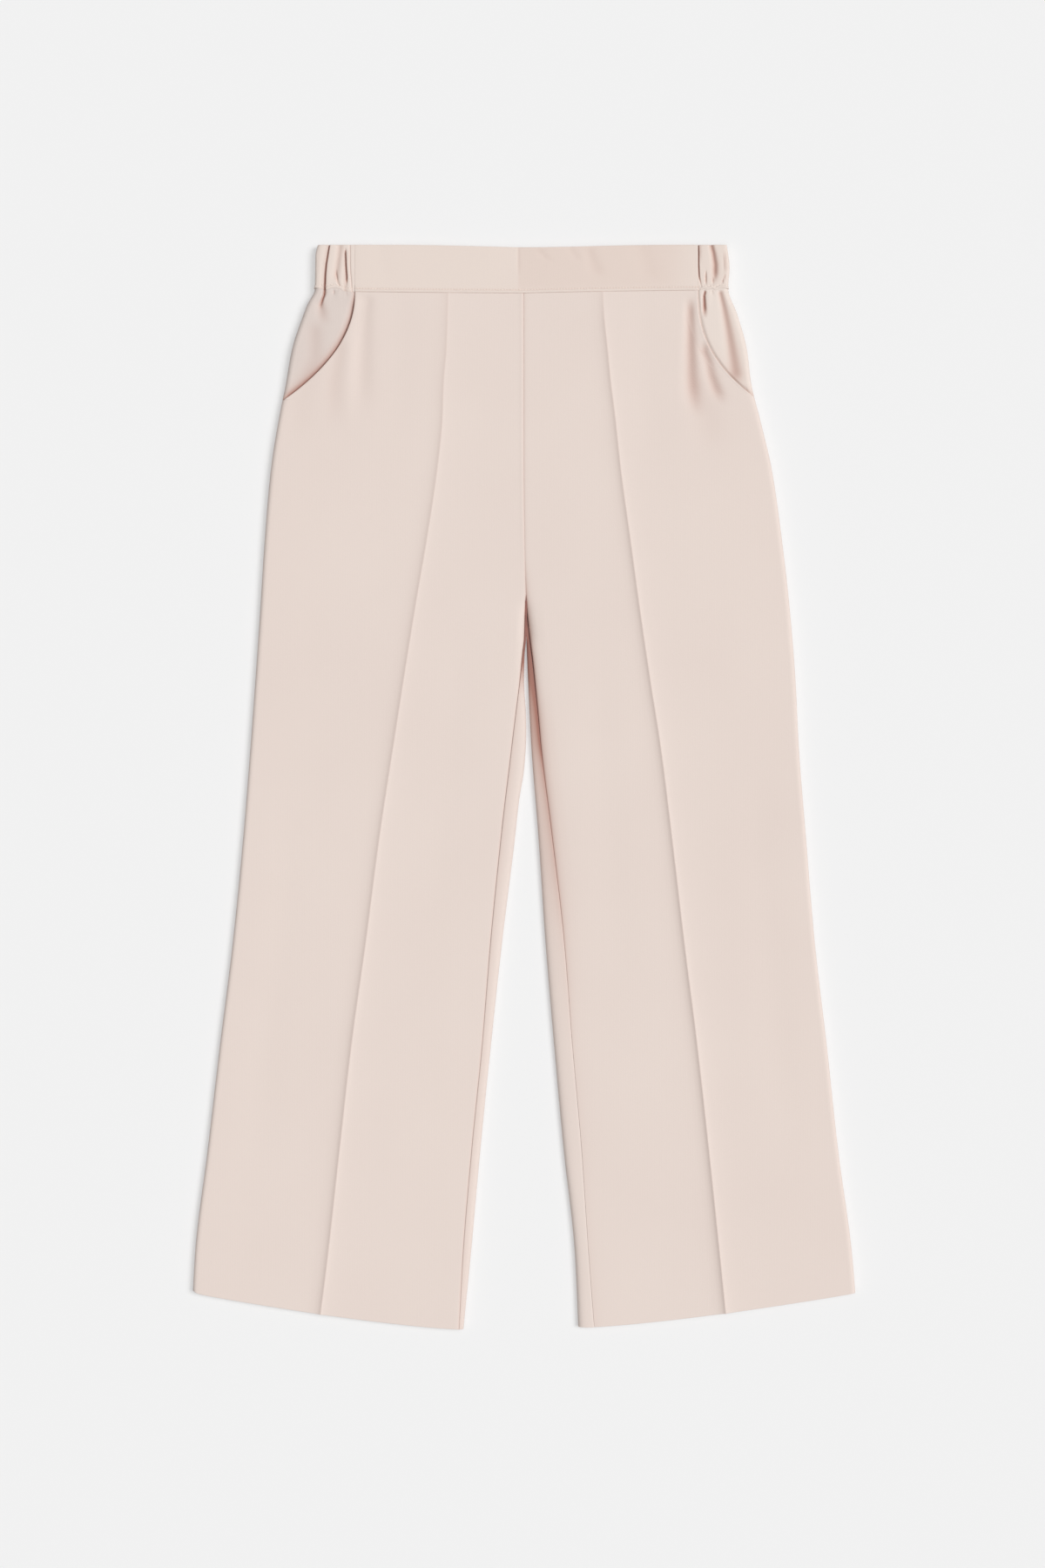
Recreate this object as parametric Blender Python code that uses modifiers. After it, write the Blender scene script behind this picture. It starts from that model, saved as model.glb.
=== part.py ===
"""Wide-leg culottes lying flat, front upwards, with a plain front waistband and an elasticated back one.

Blender metres, +Z up. The garment lies on its back on the plane Z = 0 with its waist towards +Y, so the
wearer's right side is at -X. The origin is on that plane, under the middle of the garment.

A place on the cloth is given by its drop, the distance below the top of the waistband, and by its across,
the distance from the middle line towards the side that the piece belongs to. All sizes are in millimetres,
and MM turns them into metres when a mesh is placed.
"""

import math
from bisect import bisect_right
from collections import namedtuple

import bmesh
import bpy

MM = 0.001

# ---------------------------------------------------------------- driving dimensions

LENGTH = 958.0  # top of the waistband to the lowest point of the hem
BAND_DEPTH = 42.0  # height of the waistband
WALL = 1.2  # one layer of crepe
BAND_WALL = 2.0  # waistband: crepe folded double over its stiffening or its elastic
SEAM = 0.3  # gap between two pieces where they're sewn together
LIP = 0.5  # upright strip of cloth on either side of a side seam

CREASE_HEIGHT = 1.4  # the pressed crease down the middle of each front
CREASE_REACH = 4.0  # how fast the crease dies away to either side
CREASE_FULL = 240.0  # drop where it has its full height

FRONT_FORK = 311.0  # drop where the two fronts part
BACK_FORK = 346.0  # drop where the two legs part, at the back of the crotch
FORK_TURN = 6.0  # length over which the fold at the crotch turns to run down the leg
FORK_EASE = 0.6  # how much further the front's edge stands off the back's at the fork
FORK_EASE_FROM = 308.0  # drop where it starts to stand off
FORK_EASE_FULL = 316.0  # drop where it's that far off
FORK_EASE_FADE = 340.0  # drop where it starts to come back
FORK_EASE_END = 440.0  # drop where it's back

INNER_ROUND = 3.0  # radius of the upper face where it turns down at the inside leg
INNER_ROUND_SHARE = 0.6  # how much of its fall there is in that round, and not in the slope beside it

HEM_RISE = 32.4  # how much higher the hem is at the side seam than at the inseam
HEM_BOW = 1.35  # power that bows the hem between those two
HEM_FROM = 700.0  # drop where the rows of cloth start to tilt towards the hem
HEM_INNER = 52.0  # across at the low end of the hem
HEM_OUTER = 293.5  # across at the high end of the hem

SIDE_LIFT = 3.5  # how much higher the waist seam is at the side than at the front
SIDE_LIFT_REACH = 35.0  # width over which it rises
TOP_DIP = 2.2  # how far the waistband's top edge dips at the middle
TOP_DIP_REACH = 70.0  # half the width of that dip
TOP_DIP_AT = 8.0  # place of that dip, on the wearer's left of the middle
WAIST_BLEND = 90.0  # drop above which the rows of cloth follow the waist seam

POCKET_UNDER = 1.8  # how far the pocket's back lies under the front's outer face
POCKET_LAP = 28.0  # how far the pocket's back runs on under the front
POCKET_BAG_END = 168.0  # drop of the lower end of the pocket's back
POCKET_BAG_SIDE = 10.0  # how far in from the side seam the pocket's back lies below its mouth
POCKET_TUCK = 12.0  # length over which its side sinks under the front, above the end of the mouth
POCKET_ROW = 1.5  # height of the front's last row of cloth above the end of the mouth

BAND_HEIGHT = 10.6  # top of the flat waistband above the floor
FOLD_DIP = 0.8  # depth of the soft crease in the front waistband
FOLD_DIP_AT = -5.0  # where that crease is, on the wearer's right of the middle
FOLD_DIP_REACH = 26.0  # its half width
GATHERS = 30  # gathers of the elasticated back, from side to side
GATHER_DEPTH = 1.0  # depth of those gathers
END_STEPS = 14  # strips of cloth in the elasticated band on the front, at each side
ROUND_STEPS = 7  # and round each side

# ---------------------------------------------------------------- sections of the garment

# The seam down the middle, above the fork, as a distance from the middle line towards the wearer's left.
Middle = namedtuple("Middle", "drop x")
# The outline down the side seam and the crease.
Outside = namedtuple("Outside", "drop edge crease")
# Below the fork, the inseam and the inner outline, how high that outline lies as a share of the loft, and
# how wide the round of the upper face is beside it.
Inside = namedtuple("Inside", "drop seam edge rise reach")
# How high the upper face lies above the floor.
Loft = namedtuple("Loft", "drop height")
# A gather as a trough from one drop to another, which leans from one across to another.
Gather = namedtuple("Gather", "start end top foot width depth")
# The pocket mouth, which runs from the waist seam to the side seam on a curve of this power.
Mouth = namedtuple("Mouth", "start width depth power")
Side = namedtuple("Side", "name sign hem_low outside inside mouth band_gathers hip_gathers")

LOFT = [
    Loft(0, 10.4),
    Loft(42, 10.4),
    Loft(120, 9.8),
    Loft(200, 9.0),
    Loft(330, 8.2),
    Loft(450, 7.7),
    Loft(700, 7.5),
    Loft(960, 7.9),
]

MIDDLE = [Middle(42, -0.5), Middle(200, -0.3), Middle(270, 0.6), Middle(311, 1.5)]

RIGHT = Side(
    name="right",
    sign=-1,
    hem_low=958.0,
    outside=[
        Outside(0, 182.5, 67.0),
        Outside(10, 184.5, 67.0),
        Outside(38, 185.0, 67.2),
        Outside(61, 194.6, 67.7),
        Outside(92, 205.4, 68.7),
        Outside(122, 210.8, 71.2),
        Outside(153, 217.0, 74.0),
        Outside(199, 224.2, 78.7),
        Outside(261, 229.6, 87.7),
        Outside(322, 233.5, 97.7),
        Outside(445, 242.3, 117.0),
        Outside(522, 248.5, 128.7),
        Outside(615, 257.7, 140.8),
        Outside(707, 269.2, 153.5),
        Outside(799, 280.0, 163.8),
        Outside(891, 291.2, 174.0),
        Outside(960, 294.5, 182.5),
    ],
    inside=[
        Inside(311, -1.5, -1.5, 1.0, 8),
        Inside(325, -0.6, -1.95, 0.66, 8),
        Inside(346, -0.2, -1.8, 0.36, 8),
        Inside(361, 1.3, -0.5, 0.38, 8),
        Inside(384, 3.7, 0.0, 0.42, 8),
        Inside(415, 7.7, -1.8, 0.48, 8),
        Inside(430, 9.6, -2.1, 0.5, 8),
        Inside(461, 13.3, -0.4, 0.5, 8),
        Inside(491, 17.0, 4.4, 0.5, 8),
        Inside(522, 20.5, 7.7, 0.5, 8),
        Inside(615, 29.8, 19.2, 0.5, 8),
        Inside(707, 37.3, 29.2, 0.5, 8),
        Inside(799, 46.5, 38.5, 0.5, 8),
        Inside(891, 54.1, 46.9, 0.5, 8),
        Inside(960, 57.7, 53.8, 0.5, 8),
    ],
    mouth=Mouth(150.0, 63.0, 93.5, 2.08),
    band_gathers=[
        Gather(0, 42, 172.0, 175.5, 2.0, 2.0),
        Gather(0, 42, 161.5, 164.5, 2.5, 0.9),
        Gather(8, 42, 156.8, 155.6, 1.9, 1.8),
    ],
    hip_gathers=[
        Gather(38, 72, 174.5, 181.0, 3.1, 1.9),
        Gather(38, 58, 167.0, 168.0, 2.5, 0.8),
        Gather(40, 60, 156.0, 158.0, 2.5, 0.7),
    ],
)

LEFT = Side(
    name="left",
    sign=1,
    hem_low=956.0,
    outside=[
        Outside(0, 179.2, 69.0),
        Outside(22, 181.5, 69.0),
        Outside(38, 180.5, 69.3),
        Outside(61, 188.5, 70.4),
        Outside(92, 197.0, 73.5),
        Outside(122, 200.8, 76.5),
        Outside(153, 208.5, 79.8),
        Outside(199, 219.2, 84.6),
        Outside(261, 228.1, 93.1),
        Outside(322, 235.0, 101.3),
        Outside(384, 240.0, 110.4),
        Outside(445, 243.1, 120.0),
        Outside(522, 249.2, 129.6),
        Outside(615, 257.0, 140.5),
        Outside(707, 267.7, 152.1),
        Outside(799, 277.7, 162.3),
        Outside(891, 290.0, 171.9),
        Outside(960, 295.5, 179.0),
    ],
    inside=[
        Inside(311, 1.5, 1.5, 1.0, 10),
        Inside(325, 3.3, 1.95, 0.66, 10),
        Inside(346, 5.4, 1.8, 0.36, 12),
        Inside(368, 8.1, 2.5, 0.39, 14),
        Inside(384, 9.6, 3.2, 0.42, 16),
        Inside(415, 12.3, 4.6, 0.48, 18),
        Inside(445, 15.0, 6.2, 0.5, 18),
        Inside(522, 24.6, 12.3, 0.5, 18),
        Inside(615, 35.4, 18.5, 0.5, 14),
        Inside(707, 42.7, 26.2, 0.5, 11),
        Inside(799, 50.8, 34.6, 0.5, 9),
        Inside(891, 57.0, 44.6, 0.5, 8),
        Inside(960, 62.3, 47.7, 0.5, 8),
    ],
    mouth=Mouth(153.2, 49.5, 91.5, 2.6),
    band_gathers=[
        Gather(0, 42, 163.0, 169.5, 2.5, 1.5),
        Gather(26, 42, 177.0, 173.5, 2.1, 1.3),
        Gather(22, 42, 157.5, 158.5, 1.9, 1.0),
    ],
    hip_gathers=[
        Gather(38, 76, 159.0, 160.0, 2.5, 1.5),
        Gather(38, 54, 168.0, 169.0, 2.1, 0.9),
        Gather(38, 130, 172.5, 189.0, 3.8, 1.6),
    ],
)

# ---------------------------------------------------------------- where the cloth lies


def follow(rows, column, drop):
    """One column of a table at any drop, on a smooth curve that doesn't overshoot its rows."""
    drops = [row.drop for row in rows]
    values = [getattr(row, column) for row in rows]
    slopes = [(values[i + 1] - values[i]) / (drops[i + 1] - drops[i]) for i in range(len(rows) - 1)]

    def slope_at(i):
        before = slopes[max(i - 1, 0)]
        after = slopes[min(i, len(slopes) - 1)]
        return 0.0 if before * after <= 0 else 2 * before * after / (before + after)

    k = min(max(bisect_right(drops, drop) - 1, 0), len(slopes) - 1)
    span = drops[k + 1] - drops[k]
    t = min(max((drop - drops[k]) / span, 0.0), 1.0)
    start = (1 + 2 * t) * (1 - t) ** 2 * values[k] + t * (1 - t) ** 2 * span * slope_at(k)
    end = t * t * (3 - 2 * t) * values[k + 1] - t * t * (1 - t) * span * slope_at(k + 1)
    return start + end


def ramp(low, high, value):
    """0 below low, 1 above high, and an even curve between them."""
    t = min(max((value - low) / (high - low), 0.0), 1.0)
    return t * t * (3 - 2 * t)


def side_edge(side, drop):
    return follow(side.outside, "edge", drop)


def inseam(side, drop):
    """Across of the inseam, or of the seam down the middle above the fork."""
    return side.sign * follow(MIDDLE, "x", drop) if drop < FRONT_FORK else follow(side.inside, "seam", drop)


def inner_edge(side, drop):
    """Across of the inner outline, or of the seam down the middle above the fork."""
    return side.sign * follow(MIDDLE, "x", drop) if drop < FRONT_FORK else follow(side.inside, "edge", drop)


def loft(drop):
    return follow(LOFT, "height", drop)


def half_loft(drop):
    """Height of either face over or under the side seam, with half the seam's gap left out."""
    return (loft(drop) - SEAM) / 2


def waist_seam(side, across):
    """Drop of the seam between the waistband and the legs."""
    return BAND_DEPTH - SIDE_LIFT * min(max((across - side.mouth.start) / SIDE_LIFT_REACH, 0.0), 1.0)


def top_edge(x):
    """Drop of the waistband's top edge."""
    return TOP_DIP * math.exp(-(((x - TOP_DIP_AT) / TOP_DIP_REACH) ** 2))


def hem(side, across):
    """Drop of the hem."""
    share = min(max((across - HEM_INNER) / (HEM_OUTER - HEM_INNER), 0.0), 1.0)
    return side.hem_low - (side.hem_low - LENGTH + HEM_RISE) * share**HEM_BOW


def tilted(side, level, across):
    """Drop of a place on a row of cloth, which follows the waist seam above and the hem below."""
    above = (waist_seam(side, across) - BAND_DEPTH) * (1 - ramp(BAND_DEPTH, WAIST_BLEND, level))
    below = (hem(side, across) - LENGTH) * ramp(HEM_FROM, LENGTH, level)
    return level + above + below


def side_fold(drop, path):
    """(distance in from the edge, height from the side seam, turn) at a length of cloth from that seam."""
    radius = half_loft(drop) - LIP
    turn = min(max((path - LIP) / radius, 0.0), math.pi / 2)
    flat = max(path - LIP - radius * math.pi / 2, 0.0)
    return radius * (1 - math.cos(turn)) + flat, min(path, LIP) + radius * math.sin(turn), turn


def path_to(drop, inward):
    """The length of cloth from the side seam to a place that far in from the edge."""
    radius = half_loft(drop) - LIP
    if inward >= radius:
        return LIP + radius * math.pi / 2 + inward - radius
    return LIP + radius * math.acos(1 - inward / radius)


def inner_dip(side, drop, across):
    """How far the upper face has sunk towards the inside leg, down a slope and then round the edge."""
    inward = max(across - inner_edge(side, drop), 0.0)
    slope = max(1 - inward / follow(side.inside, "reach", drop), 0.0) ** 2
    turn = 1 - math.sqrt(1 - max(1 - inward / INNER_ROUND, 0.0) ** 2)
    share = INNER_ROUND_SHARE * ramp(BACK_FORK, BACK_FORK + FORK_TURN, drop)
    return loft(drop) * (1 - follow(side.inside, "rise", drop)) * (slope + (turn - slope) * share)


def crease(side, drop, across):
    """Height of the pressed crease over the face beside it."""
    height = CREASE_HEIGHT * ramp(BAND_DEPTH, CREASE_FULL, drop)
    return height * math.exp(-abs(across - follow(side.outside, "crease", drop)) / CREASE_REACH)


def pocket_mouth(side, drop):
    """How far in from the side of the garment the pocket mouth is."""
    share = max((drop - BAND_DEPTH) / side.mouth.depth, 0.0)
    if share >= 1:
        return 0.0
    across = side.mouth.start + side.mouth.width * share**side.mouth.power
    return max(side_edge(side, drop) - across, 0.0)


def gather_depth(gathers, drop, across, fades):
    """Depth of the deepest gather at a place. Below the waist seam each gather fades towards its end."""
    deepest = 0.0
    for gather in gathers:
        share = (drop - gather.start) / (gather.end - gather.start)
        if share <= 1:
            centre = gather.top + (gather.foot - gather.top) * share
            left = 1 - max(share, 0.0) ** 2 if fades else ramp(-0.2, 0.0, share)
            depth = gather.depth * left * math.exp(-(((across - centre) / gather.width) ** 2))
            deepest = max(deepest, depth)
    return deepest


# ---------------------------------------------------------------- making a piece


def steps(start, end, first, last, between):
    """Places from start to end: fixed steps in from each end, and even ones between those."""
    near = [start + step for step in first]
    far = [end - step for step in reversed(last)]
    gap = (far[0] - near[-1]) / (between + 1)
    return near + [near[-1] + gap * (i + 1) for i in range(between)] + far


def cloth_material(name, colour):
    material = bpy.data.materials.new(name)
    material.use_nodes = True
    shader = material.node_tree.nodes["Principled BSDF"]
    shader.inputs["Base Color"].default_value = (*colour, 1.0)
    shader.inputs["Roughness"].default_value = 0.85
    shader.inputs["Metallic"].default_value = 0.0
    return material


def cloth(name, rows, wall, material, turned=False, left_out=None):
    """A sheet of cloth through rows of points on its outer face, with its thickness on the inner one.

    The rows run down the garment. Their points run from the wearer's right to the left, or the other way
    where the sheet is turned. A face that is left out is known by its first row and its first point.
    """
    last_row, last_point = len(rows) - 1, len(rows[0]) - 1
    sheet = bmesh.new()
    bmesh.ops.create_grid(sheet, x_segments=last_point, y_segments=last_row, size=1.0)
    place = {}
    for vertex in sheet.verts:
        place[vertex] = (round((1 - vertex.co.y) / 2 * last_row), round((vertex.co.x + 1) / 2 * last_point))
    if left_out:
        spare = [face for face in sheet.faces if left_out(*map(min, zip(*(place[v] for v in face.verts))))]
        bmesh.ops.delete(sheet, geom=spare, context="FACES")
    for vertex in sheet.verts:
        row, point = place[vertex]
        x, drop, height = rows[row][point]
        vertex.co = (x * MM, (LENGTH / 2 - drop) * MM, height * MM)
    if turned:
        bmesh.ops.reverse_faces(sheet, faces=sheet.faces)
    mesh = bpy.data.meshes.new(name)
    sheet.to_mesh(mesh)
    sheet.free()
    mesh.materials.append(material)
    mesh.shade_smooth()
    piece = bpy.data.objects.new(name, mesh)
    garment.objects.link(piece)
    thickness = piece.modifiers.new("thickness", "SOLIDIFY")
    thickness.thickness = wall * MM
    thickness.offset = -1.0


# ---------------------------------------------------------------- fronts

POCKET_LEVELS = [BAND_DEPTH + SEAM, 55, 70, 84, 97, 109, 119, 126, 131]
HIP_LEVELS = [144, 165, 199, 240, 280]
FORK_LEVELS = [FRONT_FORK, 318, 325, 335, BACK_FORK, 361, 384, 415, 445]
LEG_LEVELS = [483, 522, 568, 615, 661, 707, 753, 799, 845, 891, 925, LENGTH]
EDGE_STEPS = [0, LIP, 1.6, 2.8, 4.0, 5.4, 7.2, 11]
CREASE_STEPS = [0, 1.6, 5, 14]
SEAM_STEPS = [0, 1, 3, 8]


def upper_face(side, level, path, inset=0.0):
    """A point of the upper face, or one that far under it, at a length of cloth in from the side seam."""
    drop = level
    for _ in range(2):
        inward, rise, turn = side_fold(drop, path)
        across = side_edge(side, drop) - inward
        drop = tilted(side, level, across)
    height = loft(drop) - half_loft(drop) + rise
    height += crease(side, drop, across) - inner_dip(side, drop, across)
    return side.sign * (across - inset * math.cos(turn)), drop, height - inset * math.sin(turn)


def front(side, material):
    """A front leg, from the waist seam to the hem, cut away along the pocket mouth."""
    mouth_end = BAND_DEPTH + side.mouth.depth
    rows = []
    for level in POCKET_LEVELS + [mouth_end - POCKET_ROW, mouth_end] + HIP_LEVELS + FORK_LEVELS + LEG_LEVELS:
        edge = side_edge(side, level)
        start = path_to(level, pocket_mouth(side, level)) if level < mouth_end else 0.0
        fold = path_to(level, edge - follow(side.outside, "crease", level))
        ease = ramp(FORK_EASE_FROM, FORK_EASE_FULL, level) - ramp(FORK_EASE_FADE, FORK_EASE_END, level)
        stand_off = SEAM / 2 + FORK_EASE * ease
        end = path_to(level, edge - inseam(side, level) - stand_off)
        paths = steps(start, fold, EDGE_STEPS, CREASE_STEPS, 2)
        paths += steps(fold, end, CREASE_STEPS, SEAM_STEPS, 2)[1:]
        rows.append([upper_face(side, level, path) for path in paths])
    cloth(f"front_{side.name}", rows, WALL, material, turned=side is LEFT)


# ---------------------------------------------------------------- backs

BACK_LEVELS = [BAND_DEPTH + SEAM, 61, 92, 122, 153, 199, 261, 311]
GUSSET_LEVELS = [319, 325, 335]
CROTCH_LEVELS = [BACK_FORK, 352, 361, 372, 384, 400, 415, 430, 445, 464]
TURN_ANGLES = [0, 40, 66]
OVER_SHARES = [0, 0.45, 0.75, 1]


def lower_face(side, level, path):
    """A point of the face that lies on the floor, at a length of cloth in from the side seam."""
    drop = level
    for _ in range(2):
        inward, rise, _turn = side_fold(drop, path)
        across = side_edge(side, drop) - inward
        drop = tilted(side, level, across)
    return side.sign * across, drop, half_loft(drop) - rise


def inner_turn(side, level, angle):
    """A point where the back turns up from the floor, round the inside leg or the fork at the crotch."""
    drop = tilted(side, level, inner_edge(side, level))
    radius = loft(drop) * follow(side.inside, "rise", drop)
    inward = radius * (1 - math.sin(math.radians(angle)))
    down_leg = ramp(0, FORK_TURN, level - BACK_FORK)
    across = inner_edge(side, drop) + SEAM / 2 + inward * down_leg
    return side.sign * across, drop - inward * (1 - down_leg), radius * (1 - math.cos(math.radians(angle)))


def turned_over(side, level, share):
    """A point where the back has turned over towards the inseam, on the upper face."""
    drop = tilted(side, level, inner_edge(side, level))
    edge = inner_edge(side, drop) + SEAM / 2
    width = inseam(side, drop) - SEAM / 2 - edge
    across = edge + width * (1 - math.cos(share * math.pi / 2))
    return side.sign * across, drop, loft(drop) - inner_dip(side, drop, across - SEAM / 2)


def back(side, material):
    """A back leg, flat on the floor, which turns up round the inside leg to meet the front at the inseam."""
    rows = []
    for level in BACK_LEVELS + GUSSET_LEVELS + CROTCH_LEVELS + LEG_LEVELS:
        turn = [inner_turn(side, level, angle) for angle in TURN_ANGLES]
        over = [turned_over(side, level, share) for share in OVER_SHARES]
        edge = side_edge(side, level)
        end = path_to(level, edge - side.sign * (over if level < BACK_FORK else turn)[0][0])
        gathered = path_to(level, edge - side.mouth.start)
        paths = steps(0, gathered, EDGE_STEPS, [0], 1) + steps(gathered, end, [0], [0], 4)[1:]
        flat = [lower_face(side, level, path) for path in paths]
        if level >= BACK_FORK:
            flat[-1] = turn[0]
        rows.append(flat + turn[1:] + over)
    gusset_row = len(BACK_LEVELS)
    fork_row = gusset_row + len(GUSSET_LEVELS)
    last_flat = len(flat) - 1

    def left_out(row, point):
        turning = last_flat <= point < last_flat + len(TURN_ANGLES)
        return point >= last_flat and row < gusset_row or turning and row < fork_row

    cloth(f"back_{side.name}", rows, WALL, material, turned=side is RIGHT, left_out=left_out)


# ---------------------------------------------------------------- pocket backs

BAG_LEVELS = [BAND_DEPTH + SEAM, 48, 55, 64, 75, 87, 99, 110, 119, 126, 131, 137, 146, POCKET_BAG_END]


def pocket_back(side, material):
    """The side of the hip that shows in the pocket mouth and runs on under the front."""
    mouth_end = BAND_DEPTH + side.mouth.depth
    rows = []
    for level in BAG_LEVELS:
        start = POCKET_BAG_SIDE * ramp(mouth_end - POCKET_TUCK / 2, mouth_end + POCKET_ROW, level)
        tucked = ramp(mouth_end - POCKET_TUCK, mouth_end - POCKET_TUCK / 3, level)
        hidden = path_to(level, pocket_mouth(side, level)) if level < mouth_end else 0.0
        shown = max(hidden, start + EDGE_STEPS[-1])
        end = path_to(level, pocket_mouth(side, level) + POCKET_LAP)
        row = []
        for path in steps(start, shown, EDGE_STEPS[:-1], [0], 8) + [(shown + end) / 2, end]:
            drop = tilted(side, level, side_edge(side, level) - side_fold(level, path)[0])
            across = side_edge(side, drop) - side_fold(drop, path)[0]
            inset = POCKET_UNDER * max(tucked, ramp(0, max(hidden - 1, 1), path))
            inset += gather_depth(side.hip_gathers, drop, across, fades=True)
            row.append(upper_face(side, level, path, inset))
        rows.append(row)
    cloth(f"pocket_back_{side.name}", rows, WALL, material, turned=side is LEFT)


# ---------------------------------------------------------------- waistband


def front_band(material):
    """The plain front waistband, cloth folded double, with a soft crease near its middle."""
    ends = -RIGHT.mouth.start + SEAM / 2, LEFT.mouth.start - SEAM / 2
    rows = []
    for share in (0, 0.33, 0.67, 1):
        row = []
        for x in steps(*ends, [0], [0], 15):
            drop = top_edge(x) + (BAND_DEPTH - top_edge(x)) * share
            away = abs(x - FOLD_DIP_AT) / FOLD_DIP_REACH
            row.append((x, drop, BAND_HEIGHT - FOLD_DIP * max(1 - away, 0.0) * (1 - share)))
        rows.append(row)
    cloth("waistband_front", rows, BAND_WALL, material)


def band_end(side, drop, share):
    """A point of the elasticated band on the front, from its end to where it turns down at the side."""
    radius = loft(drop) / 2
    start = side.mouth.start + SEAM / 2
    across = start + (side_edge(side, drop) - radius - start) * share
    depth = gather_depth(side.band_gathers, drop, across, fades=False)
    return side.sign * across, 2 * radius - depth


def band_side(side, drop, share):
    """A point where the elasticated band turns round the side, from the top to the floor."""
    radius = loft(drop) / 2
    angle = math.pi * share
    depth = gather_depth(side.band_gathers, drop, side_edge(side, drop) - radius, fades=False) * (1 - share)
    across = side_edge(side, drop) - radius + (radius - depth) * math.sin(angle)
    return side.sign * across, radius + (radius - depth) * math.cos(angle)


def band_back(drop, share):
    """A point of the gathered band under the garment, from the wearer's right to the left."""
    radius = loft(drop) / 2
    right = radius - side_edge(RIGHT, drop)
    left = side_edge(LEFT, drop) - radius
    depth = GATHER_DEPTH * (1 - math.cos(2 * math.pi * GATHERS * share)) / 2
    return right + (left - right) * share, depth


def back_band(material):
    """The elasticated waistband, gathered, from one end of the front band round the back to the other."""
    rows = []
    for level in (0, 0.35, 0.8, 1):
        drop = BAND_DEPTH * level
        row = [band_end(RIGHT, drop, step / END_STEPS) for step in range(END_STEPS)]
        row += [band_side(RIGHT, drop, step / ROUND_STEPS) for step in range(ROUND_STEPS)]
        row += [band_back(drop, step / (4 * GATHERS)) for step in range(4 * GATHERS)]
        row += [band_side(LEFT, drop, 1 - step / ROUND_STEPS) for step in range(ROUND_STEPS)]
        row += [band_end(LEFT, drop, 1 - step / END_STEPS) for step in range(END_STEPS + 1)]
        side_of = [RIGHT if x < 0 else LEFT for x, _height in row]
        seams = [waist_seam(side, abs(x)) for side, (x, _height) in zip(side_of, row)]
        tops = [top_edge(x) for x, _height in row]
        rows.append([(x, top + (seam - top) * level, z) for (x, z), seam, top in zip(row, seams, tops)])
    cloth("waistband_back", rows, BAND_WALL, material, turned=True)


# ---------------------------------------------------------------- the garment

for old in list(bpy.data.objects):
    bpy.data.objects.remove(old, do_unlink=True)
garment = bpy.data.collections.new("culottes")
bpy.context.scene.collection.children.link(garment)

crepe = cloth_material("blush crepe", (0.78, 0.69, 0.62))
band_crepe = cloth_material("blush crepe, stiffened", (0.77, 0.68, 0.61))

for one_side in (RIGHT, LEFT):
    front(one_side, crepe)
    back(one_side, crepe)
    pocket_back(one_side, crepe)
front_band(band_crepe)
back_band(band_crepe)
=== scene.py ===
"""Wide-leg culottes of pale blush crepe, laid flat with the front upwards and seen from straight above.

The pieces follow in the order in which they are sewn. A place on the cloth is given by its drop, the distance
below the top of the waistband, and by its across, the distance from the middle line towards the side that the
piece belongs to. Both are in millimetres, and MM turns them into metres when a mesh is placed.
"""

from collections import namedtuple

import bmesh
import bpy
import numpy as np
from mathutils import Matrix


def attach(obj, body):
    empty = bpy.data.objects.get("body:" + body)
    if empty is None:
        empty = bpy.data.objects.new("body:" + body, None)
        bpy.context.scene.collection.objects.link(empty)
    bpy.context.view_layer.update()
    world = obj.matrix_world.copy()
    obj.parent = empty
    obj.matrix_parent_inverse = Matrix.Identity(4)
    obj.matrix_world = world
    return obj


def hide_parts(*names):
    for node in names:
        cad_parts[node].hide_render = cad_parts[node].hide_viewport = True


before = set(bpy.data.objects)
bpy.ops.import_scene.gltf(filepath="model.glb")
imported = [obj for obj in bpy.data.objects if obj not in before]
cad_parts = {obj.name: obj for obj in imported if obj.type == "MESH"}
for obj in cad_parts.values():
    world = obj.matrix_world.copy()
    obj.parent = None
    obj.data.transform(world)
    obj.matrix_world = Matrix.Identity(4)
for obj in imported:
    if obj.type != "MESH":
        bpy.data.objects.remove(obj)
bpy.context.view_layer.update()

# -------------------- back legs
# The two backs are single cuts of crepe that lie flat on the surface. Each turns up round the inside leg, so
# a strip of it shows on the front beside the inseam, and the two meet at the centre back in a plain seam.

MM = 0.001
LENGTH = 958.0
BAND_DEPTH = 42.0
CLOTH = 1.1
SEAM = 0.05
LIP = 0.5
FRONT_FORK = 311.0
BACK_FORK = 346.0
FORK_TURN = 6.0
STRIP_END = 560.0
STRIP_SHADE = 3.6
INNER_ROUND = 3.0
INNER_ROUND_SHARE = 0.6
HEM_RISE = 32.4
HEM_BOW = 1.35
HEM_FROM = 700.0
HEM_INNER = 52.0
HEM_OUTER = 293.5
CORNER_ROUND = 3.0
WAIST_BLEND = 90.0

Middle = namedtuple("Middle", "drop x")
Outside = namedtuple("Outside", "drop edge crease")
Inside = namedtuple("Inside", "drop seam edge rise reach")
Loft = namedtuple("Loft", "drop height")
Waist = namedtuple("Waist", "across drop")
Mouth = namedtuple("Mouth", "start width depth power")
# At each drop: the shade painted all over the turned-over strip of the back, and the shade painted at its
# seam.
Strip = namedtuple("Strip", "drop flush seam")
Side = namedtuple("Side", "name sign hem_low corner tuck shade waist outside inside mouth strip")

LOFT = [
    Loft(0, 10.4),
    Loft(42, 10.4),
    Loft(120, 9.8),
    Loft(200, 9.0),
    Loft(330, 8.2),
    Loft(450, 7.7),
    Loft(700, 7.5),
    Loft(960, 7.9),
]
MIDDLE = [Middle(42, -0.5), Middle(200, -0.3), Middle(270, 0.6), Middle(311, 1.5)]

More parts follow.
